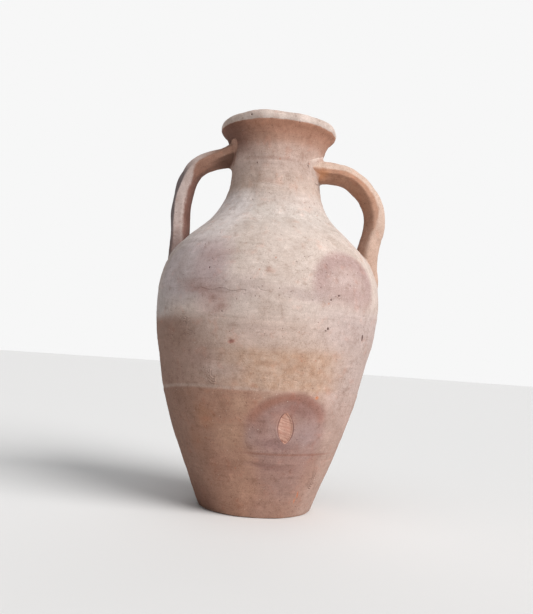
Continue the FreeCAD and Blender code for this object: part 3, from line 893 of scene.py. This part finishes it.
def clay(name, kind):
    """Fired clay. kind is body, handle or pad: the same clay, with the marks of each."""
    m = bpy.data.materials.new(name)
    T = Tree(m)
    M = T.math
    obj = T.node("ShaderNodeTexCoord").outputs["Object"]
    P = T.vec("SCALE", obj, scale=1000.0)
    x, y, z = T.xyz(P)
    theta = M("ARCTAN2", x, M("MULTIPLY", y, -1.0))
    rad = M("SQRT", M("ADD", M("MULTIPLY", x, x), M("MULTIPLY", y, y)))
    # warps
    big = T.noise(P, 0.022, 2.0, 0.5, color=True)
    small = T.noise(P, 0.11, 3.0, 0.55, color=True)
    bx, by, bz = T.xyz(big)
    sx, sy, sz = T.xyz(small)
    wu = M("ADD", M("MULTIPLY", M("SUBTRACT", bx, 0.5), 26.0), M("MULTIPLY", M("SUBTRACT", sx, 0.5), 8.0))
    wv = M("ADD", M("MULTIPLY", M("SUBTRACT", by, 0.5), 26.0), M("MULTIPLY", M("SUBTRACT", sy, 0.5), 8.0))

    def local(deg, height, warp=1.0):
        if abs(deg) > 90:
            c, s = math.cos(math.radians(deg)), math.sin(math.radians(deg))
            turned = M("ARCTAN2", M("ADD", M("MULTIPLY", x, c), M("MULTIPLY", y, s)),
                       M("SUBTRACT", M("MULTIPLY", x, s), M("MULTIPLY", y, c)))
            u = M("MULTIPLY", turned, rad)
        else:
            u = M("MULTIPLY", M("SUBTRACT", theta, math.radians(deg)), rad)
        v = M("SUBTRACT", z, height)
        if warp:
            u = M("ADD", u, M("MULTIPLY", wu, warp))
            v = M("ADD", v, M("MULTIPLY", wv, warp))
        return u, v

    def dist(deg, height, a, b, warp=1.0, lean=0.0):
        u, v = local(deg, height, warp)
        if lean:
            c, s = math.cos(math.radians(lean)), math.sin(math.radians(lean))
            u, v = (M("ADD", M("MULTIPLY", u, c), M("MULTIPLY", v, s)),
                    M("SUBTRACT", M("MULTIPLY", v, c), M("MULTIPLY", u, s)))
        u, v = M("DIVIDE", u, a), M("DIVIDE", v, b)
        return M("SQRT", M("ADD", M("MULTIPLY", u, u), M("MULTIPLY", v, v)))

    def spot(deg, height, a, b, soft=0.35, warp=1.0, lean=0.0):
        return T.step(dist(deg, height, a, b, warp, lean), 1 + soft, 1 - soft)

    def ring(deg, height, a, b, width, warp=1.0, lean=0.0):
        d = dist(deg, height, a, b, warp, lean)
        return T.step(M("ABSOLUTE", M("SUBTRACT", d, 1.0)), width, 0.0)

    # fired colour up the jar
    base = T.ramp(M("DIVIDE", M("ADD", z, M("MULTIPLY", wv, 0.22)), 500.0), [
        (0.000, lin(160, 124, 107)), (0.035, lin(158, 120, 103)), (0.150, lin(164, 126, 109)),
        (0.270, lin(170, 132, 114)), (0.300, lin(179, 147, 131)), (0.330, lin(184, 158, 145)),
        (0.390, lin(185, 161, 148)), (0.450, lin(194, 173, 162)), (0.500, lin(200, 183, 174)),
        (0.660, lin(199, 184, 175)), (0.745, lin(197, 186, 179)), (0.785, lin(193, 178, 170)),
        (0.820, lin(188, 168, 157)), (0.880, lin(188, 166, 156)), (0.912, lin(185, 158, 146)),
        (0.940, lin(171, 133, 115)), (0.955, lin(171, 128, 108)), (0.972, lin(178, 132, 110))])

    def mul(fac, colour, factor):
        return T.mix(fac, colour, (*factor, 1.0), "MULTIPLY")

    col = base
    tone = None
    if kind == "body":
        deg_w = M("ADD", M("MULTIPLY", theta, 180 / math.pi), M("MULTIPLY", wu, 0.30))
        zs = M("ADD", z, M("MULTIPLY", wv, 0.35))
        # the left of the belly is browner, up to a soft line where it turns grey and pale
        left = M("MULTIPLY", T.step(deg_w, -8.0, -58.0), T.step(deg_w, -168.0, -118.0, 0.25, 1.0))
        col = T.mix(M("MULTIPLY", M("MULTIPLY", left, T.step(zs, 244, 226)), 0.92), col, lin(149, 120, 107))
        col = T.mix(M("MULTIPLY", M("MULTIPLY", M("MULTIPLY", T.step(deg_w, -44.0, -66.0), T.step(deg_w, -165.0, -120.0)), M("MULTIPLY", T.step(zs, 228, 244), T.step(zs, 296, 262))), 0.75),
                    col, lin(186, 177, 175))
        col = T.mix(M("MULTIPLY", M("MULTIPLY", M("MULTIPLY", T.step(deg_w, -14.0, -34.0), T.step(deg_w, -165.0, -110.0)), M("MULTIPLY", T.step(zs, 312, 338), T.step(zs, 410, 385))), 0.85),
                    col, lin(216, 206, 203))
        # purplish left shoulder with redder freckles in it
        col = T.mix(M("MULTIPLY", spot(-46, 292, 62, 40, 0.35, 0.7), 0.75), col, lin(190, 177, 178))
        col = T.mix(M("MULTIPLY", spot(-30, 294, 26, 36, 0.50, 0.9), 0.75), col, lin(182, 160, 158))
        col = T.mix(M("MULTIPLY", spot(-33, 268, 34, 10, 0.60, 0.7, -4), 0.75), col, lin(167, 142, 136))
        col = T.mix(M("MULTIPLY", spot(-25, 252, 20, 15, 0.60, 0.7, 10), 0.60), col, lin(176, 147, 140))
        col = T.mix(M("MULTIPLY", spot(-13, 272, 30, 13, 0.60, 0.7), 0.45), col, lin(180, 160, 155))
        for deg, height, a, b, amt in ((-30.7, 266, 7, 3.0, 0.6), (-25.8, 257, 5, 4.0, 0.55),
                                       (-21.0, 247, 7, 5.5, 0.75), (-36.0, 263, 6, 2.5, 0.5),
                                       (-17.0, 300, 3.5, 3.0, 0.30), (-1.0, 293, 3.5, 2.5, 0.35),
                                       (-14.0, 312, 12, 2.5, 0.25), (-30.0, 307, 12, 4.0, 0.35),
                                       (-22.0, 313, 9, 3.0, 0.35), (-24.5, 241, 4, 3.0, 0.4)):
            col = T.mix(M("MULTIPLY", spot(deg, height, a, b, 0.95, 0.60), amt * 0.62), col, lin(158, 120, 110))
        # the right side is pinker from the shoulder down
        rightside = M("MULTIPLY", T.step(deg_w, 22.0, 50.0), T.step(deg_w, 168.0, 118.0))
        col = T.mix(M("MULTIPLY", M("MULTIPLY", rightside, T.step(zs, 264, 238)), 0.80), col,
                    T.mix(T.step(zs, 60, 190), lin(172, 146, 135), lin(183, 164, 158)))
        col = T.mix(M("MULTIPLY", M("MULTIPLY", M("MULTIPLY", T.step(deg_w, 12.0, 34.0), T.step(deg_w, 165.0, 110.0)), M("MULTIPLY", T.step(zs, 206, 222), T.step(zs, 262, 246))), 0.35),
                    col, lin(186, 168, 165))
        # ochre band above the join
        ochre = M("MULTIPLY", T.step(deg_w, -30.0, 2.0), T.step(deg_w, 56.0, 26.0))
        ochre = M("MULTIPLY", ochre, M("MULTIPLY", T.step(zs, 153, 160), T.step(zs, 209, 196)))
        col = T.mix(M("MULTIPLY", ochre, 0.85), col, T.mix(T.step(T.noise(P, 0.09, 4.0, 0.6), 0.35, 0.65), lin(180, 145, 122), lin(192, 163, 144)))
        # flash mark on the right shoulder: a purple arch, paler in the middle, fading below
        ad = dist(41, 281, 54, 44, 0.26, 8)
        arch = T.step(ad, 1.10, 0.82)
        col = T.mix(M("MULTIPLY", M("MULTIPLY", arch, T.step(zs, 246, 276)), 0.88), col, lin(176, 152, 146))
        rim_mark = M("MULTIPLY", T.step(M("ABSOLUTE", M("SUBTRACT", ad, 0.76)), 0.34, 0.04), T.step(zs, 262, 292))
        rim_mark = M("MULTIPLY", rim_mark, T.step(deg_w, 66.0, 52.0, 0.35, 1.0))
        col = T.mix(M("MULTIPLY", rim_mark, 0.55), col, lin(163, 136, 132))
        col = T.mix(M("MULTIPLY", spot(38, 287, 20, 8, 0.9, 0.6), 0.40), col, lin(190, 172, 167))
        col = T.mix(M("MULTIPLY", spot(46, 268, 34, 12, 0.6, 0.5, -6), 0.50), col, lin(176, 150, 145))
        col = T.mix(M("MULTIPLY", spot(19, 268, 34, 8, 0.7, 0.5, -4), 0.50), col, lin(176, 156, 152))
        chalk, chalk_c = T.voronoi(P, 0.26)
        chalk = M("MULTIPLY", M("MULTIPLY", T.step(chalk, 0.20, 0.06), T.step(T.xyz(chalk_c)[0], 0.55, 0.6)), arch)
        col = T.mix(M("MULTIPLY", chalk, 0.65), col, lin(222, 208, 202))
        # the lower section: redder, up to the join line, crisp on the left
        line = M("ADD", 151.0, M("MULTIPLY", M("COSINE", M("SUBTRACT", theta, 0.35)), 3.0))
        line = M("SUBTRACT", line, M("MULTIPLY", T.step(theta, -0.6, -1.5, 0.0, 6.0), T.step(theta, -3.0, -2.0)))
        zl = M("ADD", z, M("MULTIPLY", wv, 0.08))
        below = T.step(M("SUBTRACT", zl, line), 1.5, -2.2)
        warm = M("MULTIPLY", M("MULTIPLY", below, T.step(deg_w, 6.0, -14.0)), T.step(deg_w, -170.0, -90.0))
        col = T.mix(M("MULTIPLY", warm, 0.85), col,
                    T.mix(T.step(deg_w, -20.0, -54.0), lin(166, 127, 108), lin(146, 114, 99)))
        pale = T.step(M("ABSOLUTE", M("SUBTRACT", zl, M("ADD", line, 2.4))), 3.2, 0.4)
        col = T.mix(M("MULTIPLY", M("MULTIPLY", pale, M("MULTIPLY", T.step(deg_w, 10.0, -4.0), T.step(deg_w, -170.0, -100.0))), 0.45), col, lin(186, 165, 154))
        lowfade = M("MULTIPLY", T.step(deg_w, -6.0, 8.0), T.step(deg_w, 58.0, 40.0))
        lowfade = M("MULTIPLY", lowfade, T.step(zs, 104, 78))
        col = T.mix(M("MULTIPLY", lowfade, 0.70), col, T.mix(T.step(zs, 70, 20), lin(147, 117, 110), lin(156, 123, 109)))
        col = T.mix(M("MULTIPLY", spot(-14, 82, 24, 60, 0.5, 0.8), 0.40), col, lin(176, 139, 120))
        # mostly painted shade: the bottom of the left side, in shadow away from the light, darkened over browner clay
        col = T.mix(M("MULTIPLY", M("MULTIPLY", M("MULTIPLY", T.step(deg_w, -24.0, -52.0), T.step(deg_w, -160.0, -100.0)), T.step(zs, 60, 14)), 0.75), col, lin(128, 92, 77))
        for deg, height, a, b, tint, amt in ((-33, 118, 13, 12, lin(170, 124, 98), 0.50),
                                             (-18, 100, 14, 16, lin(182, 145, 122), 0.45),
                                             (-42, 92, 10, 16, lin(160, 116, 94), 0.40),
                                             (-24, 60, 18, 14, lin(156, 114, 97), 0.40),
                                             (-8, 30, 20, 12, lin(172, 134, 114), 0.40),
                                             (24, 40, 18, 16, lin(146, 120, 114), 0.40),
                                             (44, 60, 12, 20, lin(160, 122, 104), 0.40),
                                             (-10, 138, 16, 9, lin(186, 152, 130), 0.45),
                                             (-34, 190, 22, 10, lin(160, 130, 120), 0.45),
                                             (-20, 176, 24, 8, lin(182, 160, 152), 0.45),
                                             (-6, 222, 30, 9, lin(188, 164, 155), 0.35),
                                             (-46, 214, 18, 12, lin(148, 118, 104), 0.45)):
            col = T.mix(M("MULTIPLY", spot(deg, height, a, b, 0.75, 0.6), amt), col, tint)
        # the kiss mark where another pot leaned: dark arch, lavender inside
        kd = dist(18, 107, 54, 47, 0.20)
        kiss = M("MULTIPLY", T.step(kd, 1.10, 0.80), T.step(zs, 66, 104, 0.15, 1.0))
        col = T.mix(M("MULTIPLY", kiss, 0.85), col, lin(155, 127, 121))
        arch2 = M("MULTIPLY", T.step(M("ABSOLUTE", M("SUBTRACT", kd, 0.88)), 0.20, 0.02), T.step(zs, 104, 132))
        arch2 = M("MULTIPLY", arch2, T.step(deg_w, 47.0, 34.0))
        col = T.mix(M("MULTIPLY", arch2, 0.85), col, lin(150, 106, 91))
        col = T.mix(M("MULTIPLY", spot(-2, 128, 8, 22, 0.7, 0.3, 24), 0.45), col, lin(152, 108, 92))
        arch3 = M("MULTIPLY", T.step(M("ABSOLUTE", M("SUBTRACT", kd, 0.62)), 0.20, 0.02), T.step(zs, 112, 140))
        col = T.mix(M("MULTIPLY", arch3, 0.45), col, lin(150, 111, 103))
        col = T.mix(M("MULTIPLY", spot(28, 138, 26, 11, 0.5, 0.4, -12), 0.55), col, lin(146, 110, 103))
        col = T.mix(M("MULTIPLY", spot(15, 122, 13, 9, 0.7, 0.3), 0.45), col, lin(168, 122, 107))
        col = T.mix(M("MULTIPLY", spot(30, 104, 15, 14, 0.7, 0.4), 0.50), col, lin(158, 136, 134))
        col = T.mix(M("MULTIPLY", spot(12, 92, 20, 6, 0.7, 0.4, -3), 0.75), col, lin(138, 108, 104))
        col = T.mix(M("MULTIPLY", spot(1, 112, 6, 18, 0.7, 0.4), 0.40), col, lin(146, 114, 106))
        col = T.mix(M("MULTIPLY", spot(9, 66, 26, 3.5, 0.8, 0.4, -4), 0.55), col, lin(136, 102, 94))
        u, v = local(SCAR[0], SCAR[1], 0.03)
        v2 = M("DIVIDE", v, SCAR[3])
        wide = M("MULTIPLY", M("POWER", M("MAXIMUM", M("SUBTRACT", 1.0, M("MULTIPLY", v2, v2)), 0.0001), 0.72), SCAR[2])
        q = M("DIVIDE", M("ABSOLUTE", M("ADD", u, M("MULTIPLY", v, 0.10))), wide)
        lens = T.step(q, 1.03, 0.90)
        edge = M("MULTIPLY", T.step(M("ABSOLUTE", M("SUBTRACT", q, 1.04)), 0.16, 0.02),
                 T.step(M("ABSOLUTE", v2), 1.02, 0.94))
        col = T.mix(M("MULTIPLY", edge, 0.80), col, lin(112, 76, 66))
        band = T.noise(T.join(M("MULTIPLY", u, 0.05), M("MULTIPLY", M("ADD", v, M("MULTIPLY", u, 0.3)), 0.35), 2.0), 1.0, 2.0, 0.5)
        col = T.mix(M("MULTIPLY", lens, 0.95), col, T.mix(T.step(band, 0.32, 0.68), lin(172, 126, 110), lin(198, 158, 142)))
        # turned line low on the body
        turned = T.step(M("ABSOLUTE", M("SUBTRACT", M("ADD", z, M("MULTIPLY", wv, 0.06)), 80.6)), 2.4, 0.2)
        col = T.mix(M("MULTIPLY", M("MULTIPLY", turned, T.step(M("ABSOLUTE", M("SUBTRACT", theta, 0.42)), 0.75, 0.40)), 0.60),
                    col, lin(140, 98, 84))
        # flashes on the sides and back, which a kiln leaves all round
        for deg, height, a, b, tint, amt in ((128, 250, 60, 46, lin(176, 154, 149), 0.7),
                                             (-140, 205, 70, 40, lin(180, 146, 126), 0.7),
                                             (150, 110, 50, 60, lin(150, 118, 108), 0.6),
                                             (-100, 330, 40, 26, lin(190, 176, 174), 0.6),
                                             (95, 120, 44, 52, lin(170, 140, 128), 0.5),
                                             (-168, 300, 46, 30, lin(172, 148, 143), 0.6),
                                             (174, 190, 70, 22, lin(184, 152, 132), 0.6)):
            col = T.mix(M("MULTIPLY", spot(deg, height, a, b, 0.35, 0.8), amt), col, tint)
        # painted shade under the lip on the left, away from the light, over the clay's own darker colour there; it
        # reaches down the neck towards the left root
        flare = M("MULTIPLY", T.step(z, 438, 470), T.step(z, 490.0, 486.8))
        shade = M("MULTIPLY", M("MULTIPLY", T.step(deg_w, -14.0, -56.0), T.step(deg_w, -165.0, -115.0)), flare)
        col = T.mix(M("MULTIPLY", shade, 0.90), col, lin(112, 80, 69))
        # lip: paler and greyer than what is under it, partly its own colour and partly painted light, the upper face
        # that takes the light made paler down to where the shade under the lip begins
        lip = T.step(M("ADD", z, M("MULTIPLY", M("SUBTRACT", sz, 0.5), 2.4)), 487.4, 488.9)
        col = T.mix(lip, col, T.mix(T.step(T.noise(P, 0.045, 3.0, 0.5), 0.4, 0.6), lin(191, 174, 165), lin(204, 188, 179)))
        # red chip, orange specks and scrape, pale scratch on the neck
        col = T.mix(M("MULTIPLY", spot(-15.9, 208.3, 4.2, 2.2, 0.5, 0.08, 12), 0.80), col, lin(158, 108, 96))
        col = T.mix(M("MULTIPLY", spot(32.1, 149.7, 2.2, 2.0, 0.5, 0.05), 0.85), col, lin(196, 128, 92))
        col = T.mix(M("MULTIPLY", spot(38.8, 30.5, 1.2, 4.0, 0.6, 0.06, 14), 0.85), col, lin(196, 118, 84))
        col = T.mix(M("MULTIPLY", spot(37.5, 22.5, 1.0, 3.0, 0.6, 0.06, 10), 0.75), col, lin(196, 118, 84))
        col = T.mix(M("MULTIPLY", spot(0, 407.6, 20, 2.4, 0.8, 0.10, -3.5), 0.50), col, lin(212, 196, 188))
        col = T.mix(M("MULTIPLY", spot(-6, 413, 7, 3.0, 0.8, 0.3, -20), 0.35), col, lin(178, 146, 134))
        turned2 = T.step(M("ABSOLUTE", M("SUBTRACT", M("ADD", z, M("MULTIPLY", wv, 0.10)), 443.0)), 3.6, 1.0)
        col = T.mix(M("MULTIPLY", M("MULTIPLY", turned2, T.step(M("ABSOLUTE", M("ADD", theta, 0.15)), 0.8, 0.3)), 0.30), col, lin(164, 128, 114))
        # inside and under the foot the clay is browner and more even
        nrm = T.node("ShaderNodeNewGeometry").outputs["Normal"]
        outward = T.vec("DOT_PRODUCT", T.vec("NORMALIZE", T.join(x, y, 0.0)), nrm)
        inside = M("MULTIPLY", T.step(outward, -0.05, -0.30), T.step(z, 498.5, 494.0))
        col = T.mix(M("MULTIPLY", inside, 0.80), col, lin(150, 112, 95))
        col = T.mix(M("MULTIPLY", T.step(z, 3.0, 1.8), 0.6), col, lin(172, 138, 120))
    else:
        at = T.node("ShaderNodeAttribute", attribute_name="strap").outputs["Vector"]
        along, outer_side, front = T.xyz(at)
        isleft = M("LESS_THAN", x, 0.0)
        # outer side cool and pale; the side under the arch red-brown, a redder clay with painted shade where it faces
        # down and away from the light; orange by the right root
        right_c = T.mix(T.step(along, 0.35, 0.75), lin(200, 176, 161), lin(186, 157, 141))
        left_c = T.mix(T.step(along, 0.25, 0.50), lin(192, 172, 164), lin(190, 172, 166))
        col = T.mix(isleft, right_c, left_c)
        turn = T.mix(isleft, T.step(along, 0.45, 0.66, 0.26, -0.50), T.step(along, 0.26, 0.42, 0.30, -0.62))
        turn = M("SUBTRACT", outer_side, turn)
        under_tint_and_shade = T.step(M("ADD", turn, M("MULTIPLY", M("SUBTRACT", sx, 0.5), 0.4)), 0.14, -0.20)
        under_tint_and_shade_c = T.mix(isleft, T.mix(T.step(along, 0.30, 0.75), lin(166, 122, 98), lin(160, 128, 112)),
                        T.mix(T.step(along, 0.25, 0.5), lin(156, 114, 94), lin(126, 86, 74)))
        col = T.mix(M("MULTIPLY", under_tint_and_shade, 0.90), col, under_tint_and_shade_c)
        # painted shade: the outer side of the left strap, turned away from the light, darkened grey
        left_outer_shade = M("MULTIPLY", M("MULTIPLY", isleft, T.step(along, 0.28, 0.42)), T.step(outer_side, 0.14, 0.32))
        col = T.mix(M("MULTIPLY", left_outer_shade, 0.85), col, lin(112, 101, 102))
        # painted shade: the lower end of the left strap, in shadow below its thumb-pressed end, darkened
        left_low_shade = M("MULTIPLY", isleft, T.step(along, 0.62, 0.78))
        col = T.mix(M("MULTIPLY", left_low_shade, 0.70), col, lin(122, 98, 92))
        orange = T.step(T.vec("DISTANCE", P, (62.0, -33.0, 430.0)), 16.0, 3.0)
        col = T.mix(M("MULTIPLY", orange, 0.70), col, lin(190, 126, 80))
        rootl = M("MULTIPLY", isleft, M("MULTIPLY", M("MULTIPLY", T.step(along, 0.30, 0.16), T.step(outer_side, 0.90, 0.60)), T.step(outer_side, -0.55, -0.30)))
        col = T.mix(M("MULTIPLY", rootl, 0.80), col, lin(172, 134, 116))
        # painted shade in the crease where the left strap meets the neck, on the side facing the neck, and in the
        # hollow beside that root
        left_root_shade = M("MULTIPLY", isleft, M("MULTIPLY", T.step(along, 0.26, 0.14), T.step(outer_side, -0.35, -0.60)))
        col = T.mix(M("MULTIPLY", left_root_shade, 0.80), col, lin(88, 62, 52))
        col = T.mix(M("MULTIPLY", T.step(T.vec("DISTANCE", P, (-47.0, -38.0, 450.0)), 10.0, 3.0), 0.5), col, lin(112, 76, 58))
        if kind == "pad":
            col = T.mix(M("MULTIPLY", isleft, M("MULTIPLY", T.step(z, 430, 440), T.step(T.vec("DISTANCE", at, (0.0, 0.10, 0.95)), 0.85, 0.45))),
                        col, lin(180, 141, 123))
            # the foot of the pad has the wall's own colour, which on the left neck carries the wall's painted shade
            # under the lip
            wall = T.mix(M("MULTIPLY", isleft, T.step(z, 430, 452)), base, lin(132, 100, 87))
            wall = T.mix(M("MULTIPLY", isleft, T.step(z, 360, 330)), wall, lin(190, 177, 176))
            climb = T.node("ShaderNodeAttribute", attribute_name="climb").outputs["Fac"]
            climb = M("ADD", climb, M("MULTIPLY", M("SUBTRACT", sy, 0.5), 0.25))
            col = T.mix(M("MULTIPLY", T.step(climb, 0.90, 0.40), M("SUBTRACT", 1.0, M("MULTIPLY", M("MULTIPLY", isleft, T.step(z, 430, 440, 0.0, 0.8)), T.step(T.vec("DISTANCE", at, (0.0, 0.10, 0.95)), 0.75, 0.40)))), col, wall)
            # painted highlight along the raised crescent of luting at the right neck root
            crest_highlight = M("MULTIPLY", M("SUBTRACT", 1.0, isleft), M("MULTIPLY", T.step(z, 444, 450), T.step(climb, 0.45, 0.15)))
            col = T.mix(M("MULTIPLY", crest_highlight, 0.7), col, lin(212, 194, 184))
    # streaks left by the wheel, fine and uneven
    stretch = T.join(M("MULTIPLY", x, 0.018), M("MULTIPLY", y, 0.018), M("MULTIPLY", z, 0.34))
    streak = T.noise(stretch, 1.0, 5.0, 0.60)
    fine_streak = T.noise(T.join(M("MULTIPLY", x, 0.055), M("MULTIPLY", y, 0.055), M("MULTIPLY", z, 1.5)), 1.0, 3.0, 0.6)
    patch = T.noise(T.vec("ADD", P, (13, 71, 29)), 0.045, 3.0, 0.55)
    if kind == "body":
        gate = T.step(patch, 0.40, 0.62)
        col = mul(M("MULTIPLY", T.step(streak, 0.50, 0.76), gate), col, (1.12, 1.12, 1.12))
        col = mul(M("MULTIPLY", T.step(streak, 0.50, 0.26), gate), col, (0.86, 0.84, 0.82))
        col = mul(M("MULTIPLY", T.step(fine_streak, 0.52, 0.75), gate), col, (0.93, 0.92, 0.91))
    # cloudy blotches, mottling and grit
    cloud = T.noise(P, 0.030, 4.0, 0.60)
    col = mul(T.step(cloud, 0.50, 0.74), col, (1.12, 1.12, 1.13))
    col = mul(T.step(cloud, 0.50, 0.28), col, (0.89, 0.86, 0.84))
    mott = T.noise(P, 0.13, 5.0, 0.65)
    col = mul(T.step(mott, 0.50, 0.74), col, (1.14, 1.15, 1.16))
    col = mul(T.step(mott, 0.50, 0.26), col, (0.80, 0.75, 0.72))
    pink = T.noise(T.vec("ADD", P, (83, 9, 47)), 0.07, 4.0, 0.6)
    col = mul(T.step(pink, 0.54, 0.72), col, (1.02, 0.93, 0.90))
    # short wandering wrinkles of dried slip
    wrinkle = T.noise(T.vec("ADD", P, (5, 37, 91)), 0.105, 4.0, 0.66)
    wrinkle = T.step(M("ABSOLUTE", M("SUBTRACT", wrinkle, 0.5)), 0.018, 0.002)
    wr_gate = T.step(T.noise(T.vec("ADD", P, (41, 3, 7)), 0.022, 2.0, 0.5), 0.46, 0.60)
    wrinkle = M("MULTIPLY", wrinkle, wr_gate)
    col = mul(M("MULTIPLY", wrinkle, 0.8), col, (0.80, 0.74, 0.70))
    grain = T.noise(P, 0.75, 3.0, 0.62)
    col = mul(T.step(grain, 0.50, 0.74), col, (1.13, 1.14, 1.15))
    col = mul(T.step(grain, 0.50, 0.28), col, (0.80, 0.76, 0.74))
    d1, c1 = T.voronoi(P, 0.15)
    dark = M("MULTIPLY", T.step(d1, 0.13, 0.07), T.step(T.xyz(c1)[0], 0.58, 0.62))
    col = T.mix(M("MULTIPLY", dark, 0.62), col, lin(98, 68, 58))
    d2, c2 = T.voronoi(T.vec("ADD", P, (61, 17, 33)), 0.19)
    light = M("MULTIPLY", T.step(d2, 0.12, 0.05), T.step(T.xyz(c2)[1], 0.78, 0.82))
    col = T.mix(M("MULTIPLY", light, 0.50), col, lin(226, 214, 204))
    d3, c3 = T.voronoi(T.vec("ADD", P, (11, 57, 5)), 0.06)
    rust = M("MULTIPLY", T.step(d3, 0.11, 0.03), T.step(T.xyz(c3)[2], 0.66, 0.70))
    col = T.mix(M("MULTIPLY", rust, 0.55), col, lin(176, 118, 94))
    if kind == "body":
        # painted shade in the bottoms of the pinholes, cracks and scratches that the mesh holds, darker the deeper they
        # go
        pit_shade = T.step(T.node("ShaderNodeAttribute", attribute_name="dent").outputs["Fac"], -0.30, -0.85)
        notscar = M("SUBTRACT", 1.0, T.step(q, 1.15, 1.02))
        col = T.mix(M("MULTIPLY", M("MULTIPLY", pit_shade, notscar), 0.80), col, lin(84, 56, 48))
    # relief too fine for the mesh
    b1 = T.noise(P, 0.55, 5.0, 0.65)
    b2 = T.noise(P, 2.6, 3.0, 0.6)
    height = M("ADD", M("MULTIPLY", b1, 0.55), M("MULTIPLY", b2, 0.22))
    if kind == "body":
        height = M("ADD", height, M("MULTIPLY", streak, 0.55))
        height = M("ADD", height, M("MULTIPLY", fine_streak, 0.16))
    height = M("SUBTRACT", height, M("MULTIPLY", dark, 0.8))
    height = M("SUBTRACT", height, M("MULTIPLY", wrinkle, 0.30))
    bump = T.node("ShaderNodeBump")
    bump.inputs["Strength"].default_value = 0.55
    bump.inputs["Distance"].default_value = 0.0006
    T.put(bump.inputs["Height"], height)
    shader = T.node("ShaderNodeBsdfPrincipled")
    T.put(shader.inputs["Base Color"], col)
    rough = T.step(mott, 0.3, 0.7, 0.82, 0.96)
    T.put(shader.inputs["Roughness"], rough)
    shader.inputs["Specular IOR Level"].default_value = 0.28
    T.put(shader.inputs["Normal"], bump.outputs[0])
    out = T.node("ShaderNodeOutputMaterial")
    T.put(out.inputs["Surface"], shader.outputs[0])
    return m


CLAY = {"body": clay("fired clay body", "body"), "handle": clay("fired clay handle", "handle"),
        "pad": clay("fired clay luting", "pad")}
for node, obj in pieces.items():
    kind = "pad" if node.endswith("_pad") else ("handle" if node.startswith("handle") else "body")
    obj.data.materials.append(CLAY[kind])
    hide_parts(node)
    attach(obj, "root")

# ================================================================= stage
def plain(name, color, rough=0.9):
    m = bpy.data.materials.new(name)
    T = Tree(m)
    s = T.node("ShaderNodeBsdfPrincipled")
    s.inputs["Base Color"].default_value = color
    s.inputs["Roughness"].default_value = rough
    s.inputs["Specular IOR Level"].default_value = 0.2
    o = T.node("ShaderNodeOutputMaterial")
    T.put(o.inputs["Surface"], s.outputs[0])
    return m


bpy.ops.mesh.primitive_circle_add(vertices=96, radius=14.0, fill_type="NGON", location=(0, 0, 0))
floor = bpy.context.object
floor.name = "floor"
floor.data.materials.append(plain("pale floor", (0.80, 0.80, 0.80, 1)))

world = bpy.data.worlds.new("studio")
bpy.context.scene.world = world
world.use_nodes = True
wt = world.node_tree
wt.nodes.clear()
path = wt.nodes.new("ShaderNodeLightPath")
glow = wt.nodes.new("ShaderNodeBackground")
glow.inputs["Color"].default_value = (1.0, 0.985, 0.97, 1)
glow.inputs["Strength"].default_value = 0.16
sky = wt.nodes.new("ShaderNodeBackground")
sky.inputs["Color"].default_value = (1, 1, 1, 1)
sky.inputs["Strength"].default_value = 0.93
mixer = wt.nodes.new("ShaderNodeMixShader")
wout = wt.nodes.new("ShaderNodeOutputWorld")
wt.links.new(path.outputs["Is Camera Ray"], mixer.inputs[0])
wt.links.new(glow.outputs[0], mixer.inputs[1])
wt.links.new(sky.outputs[0], mixer.inputs[2])
wt.links.new(mixer.outputs[0], wout.inputs[0])


def area(name, where, target, size, watts, color=(1, 1, 1)):
    data = bpy.data.lights.new(name, "AREA")
    data.shape = "RECTANGLE"
    data.size, data.size_y = size
    data.energy = watts
    data.color = color
    obj = bpy.data.objects.new(name, data)
    obj.location = where
    obj.rotation_euler = (Vector(target) - Vector(where)).to_track_quat("-Z", "Y").to_euler()
    bpy.context.scene.collection.objects.link(obj)
    return obj


def sun(name, towards, strength, angle, color=(1, 1, 1)):
    data = bpy.data.lights.new(name, "SUN")
    data.energy = strength
    data.angle = math.radians(angle)
    data.color = color
    obj = bpy.data.objects.new(name, data)
    obj.rotation_euler = Vector(towards).to_track_quat("Z", "Y").to_euler()
    obj.location = Vector(towards) * 3
    bpy.context.scene.collection.objects.link(obj)
    return obj


sun("key", (0.66, -0.52, 0.54), 3.3, 42, (1.0, 0.985, 0.97))
sun("top", (-0.05, -0.35, 0.93), 0.75, 60, (0.97, 0.985, 1.0))
sun("back", (0.10, 0.90, 0.45), 0.55, 60, (0.97, 0.985, 1.0))

# ================================================================= camera
cam = bpy.data.cameras.new("camera")
cam.sensor_width = 36.0
cam.lens = 43.155
cam.clip_start, cam.clip_end = 0.01, 100
camera = bpy.data.objects.new("camera", cam)
bpy.context.scene.collection.objects.link(camera)
yaw, pitch, roll = -0.000438, 0.069352, 0.069095
fwd = Vector((math.sin(yaw) * math.cos(pitch), math.cos(yaw) * math.cos(pitch), math.sin(pitch)))
level = Vector((math.cos(yaw), -math.sin(yaw), 0))
upright = level.cross(fwd)
right_ = math.cos(roll) * level + math.sin(roll) * upright
up_ = -math.sin(roll) * level + math.cos(roll) * upright
camera.matrix_world = Matrix(((right_.x, up_.x, -fwd.x, 0.0), (right_.y, up_.y, -fwd.y, -0.96796),
                              (right_.z, up_.z, -fwd.z, 0.19174), (0, 0, 0, 1)))
bpy.context.scene.camera = camera
bpy.context.scene.view_settings.view_transform = "Standard"
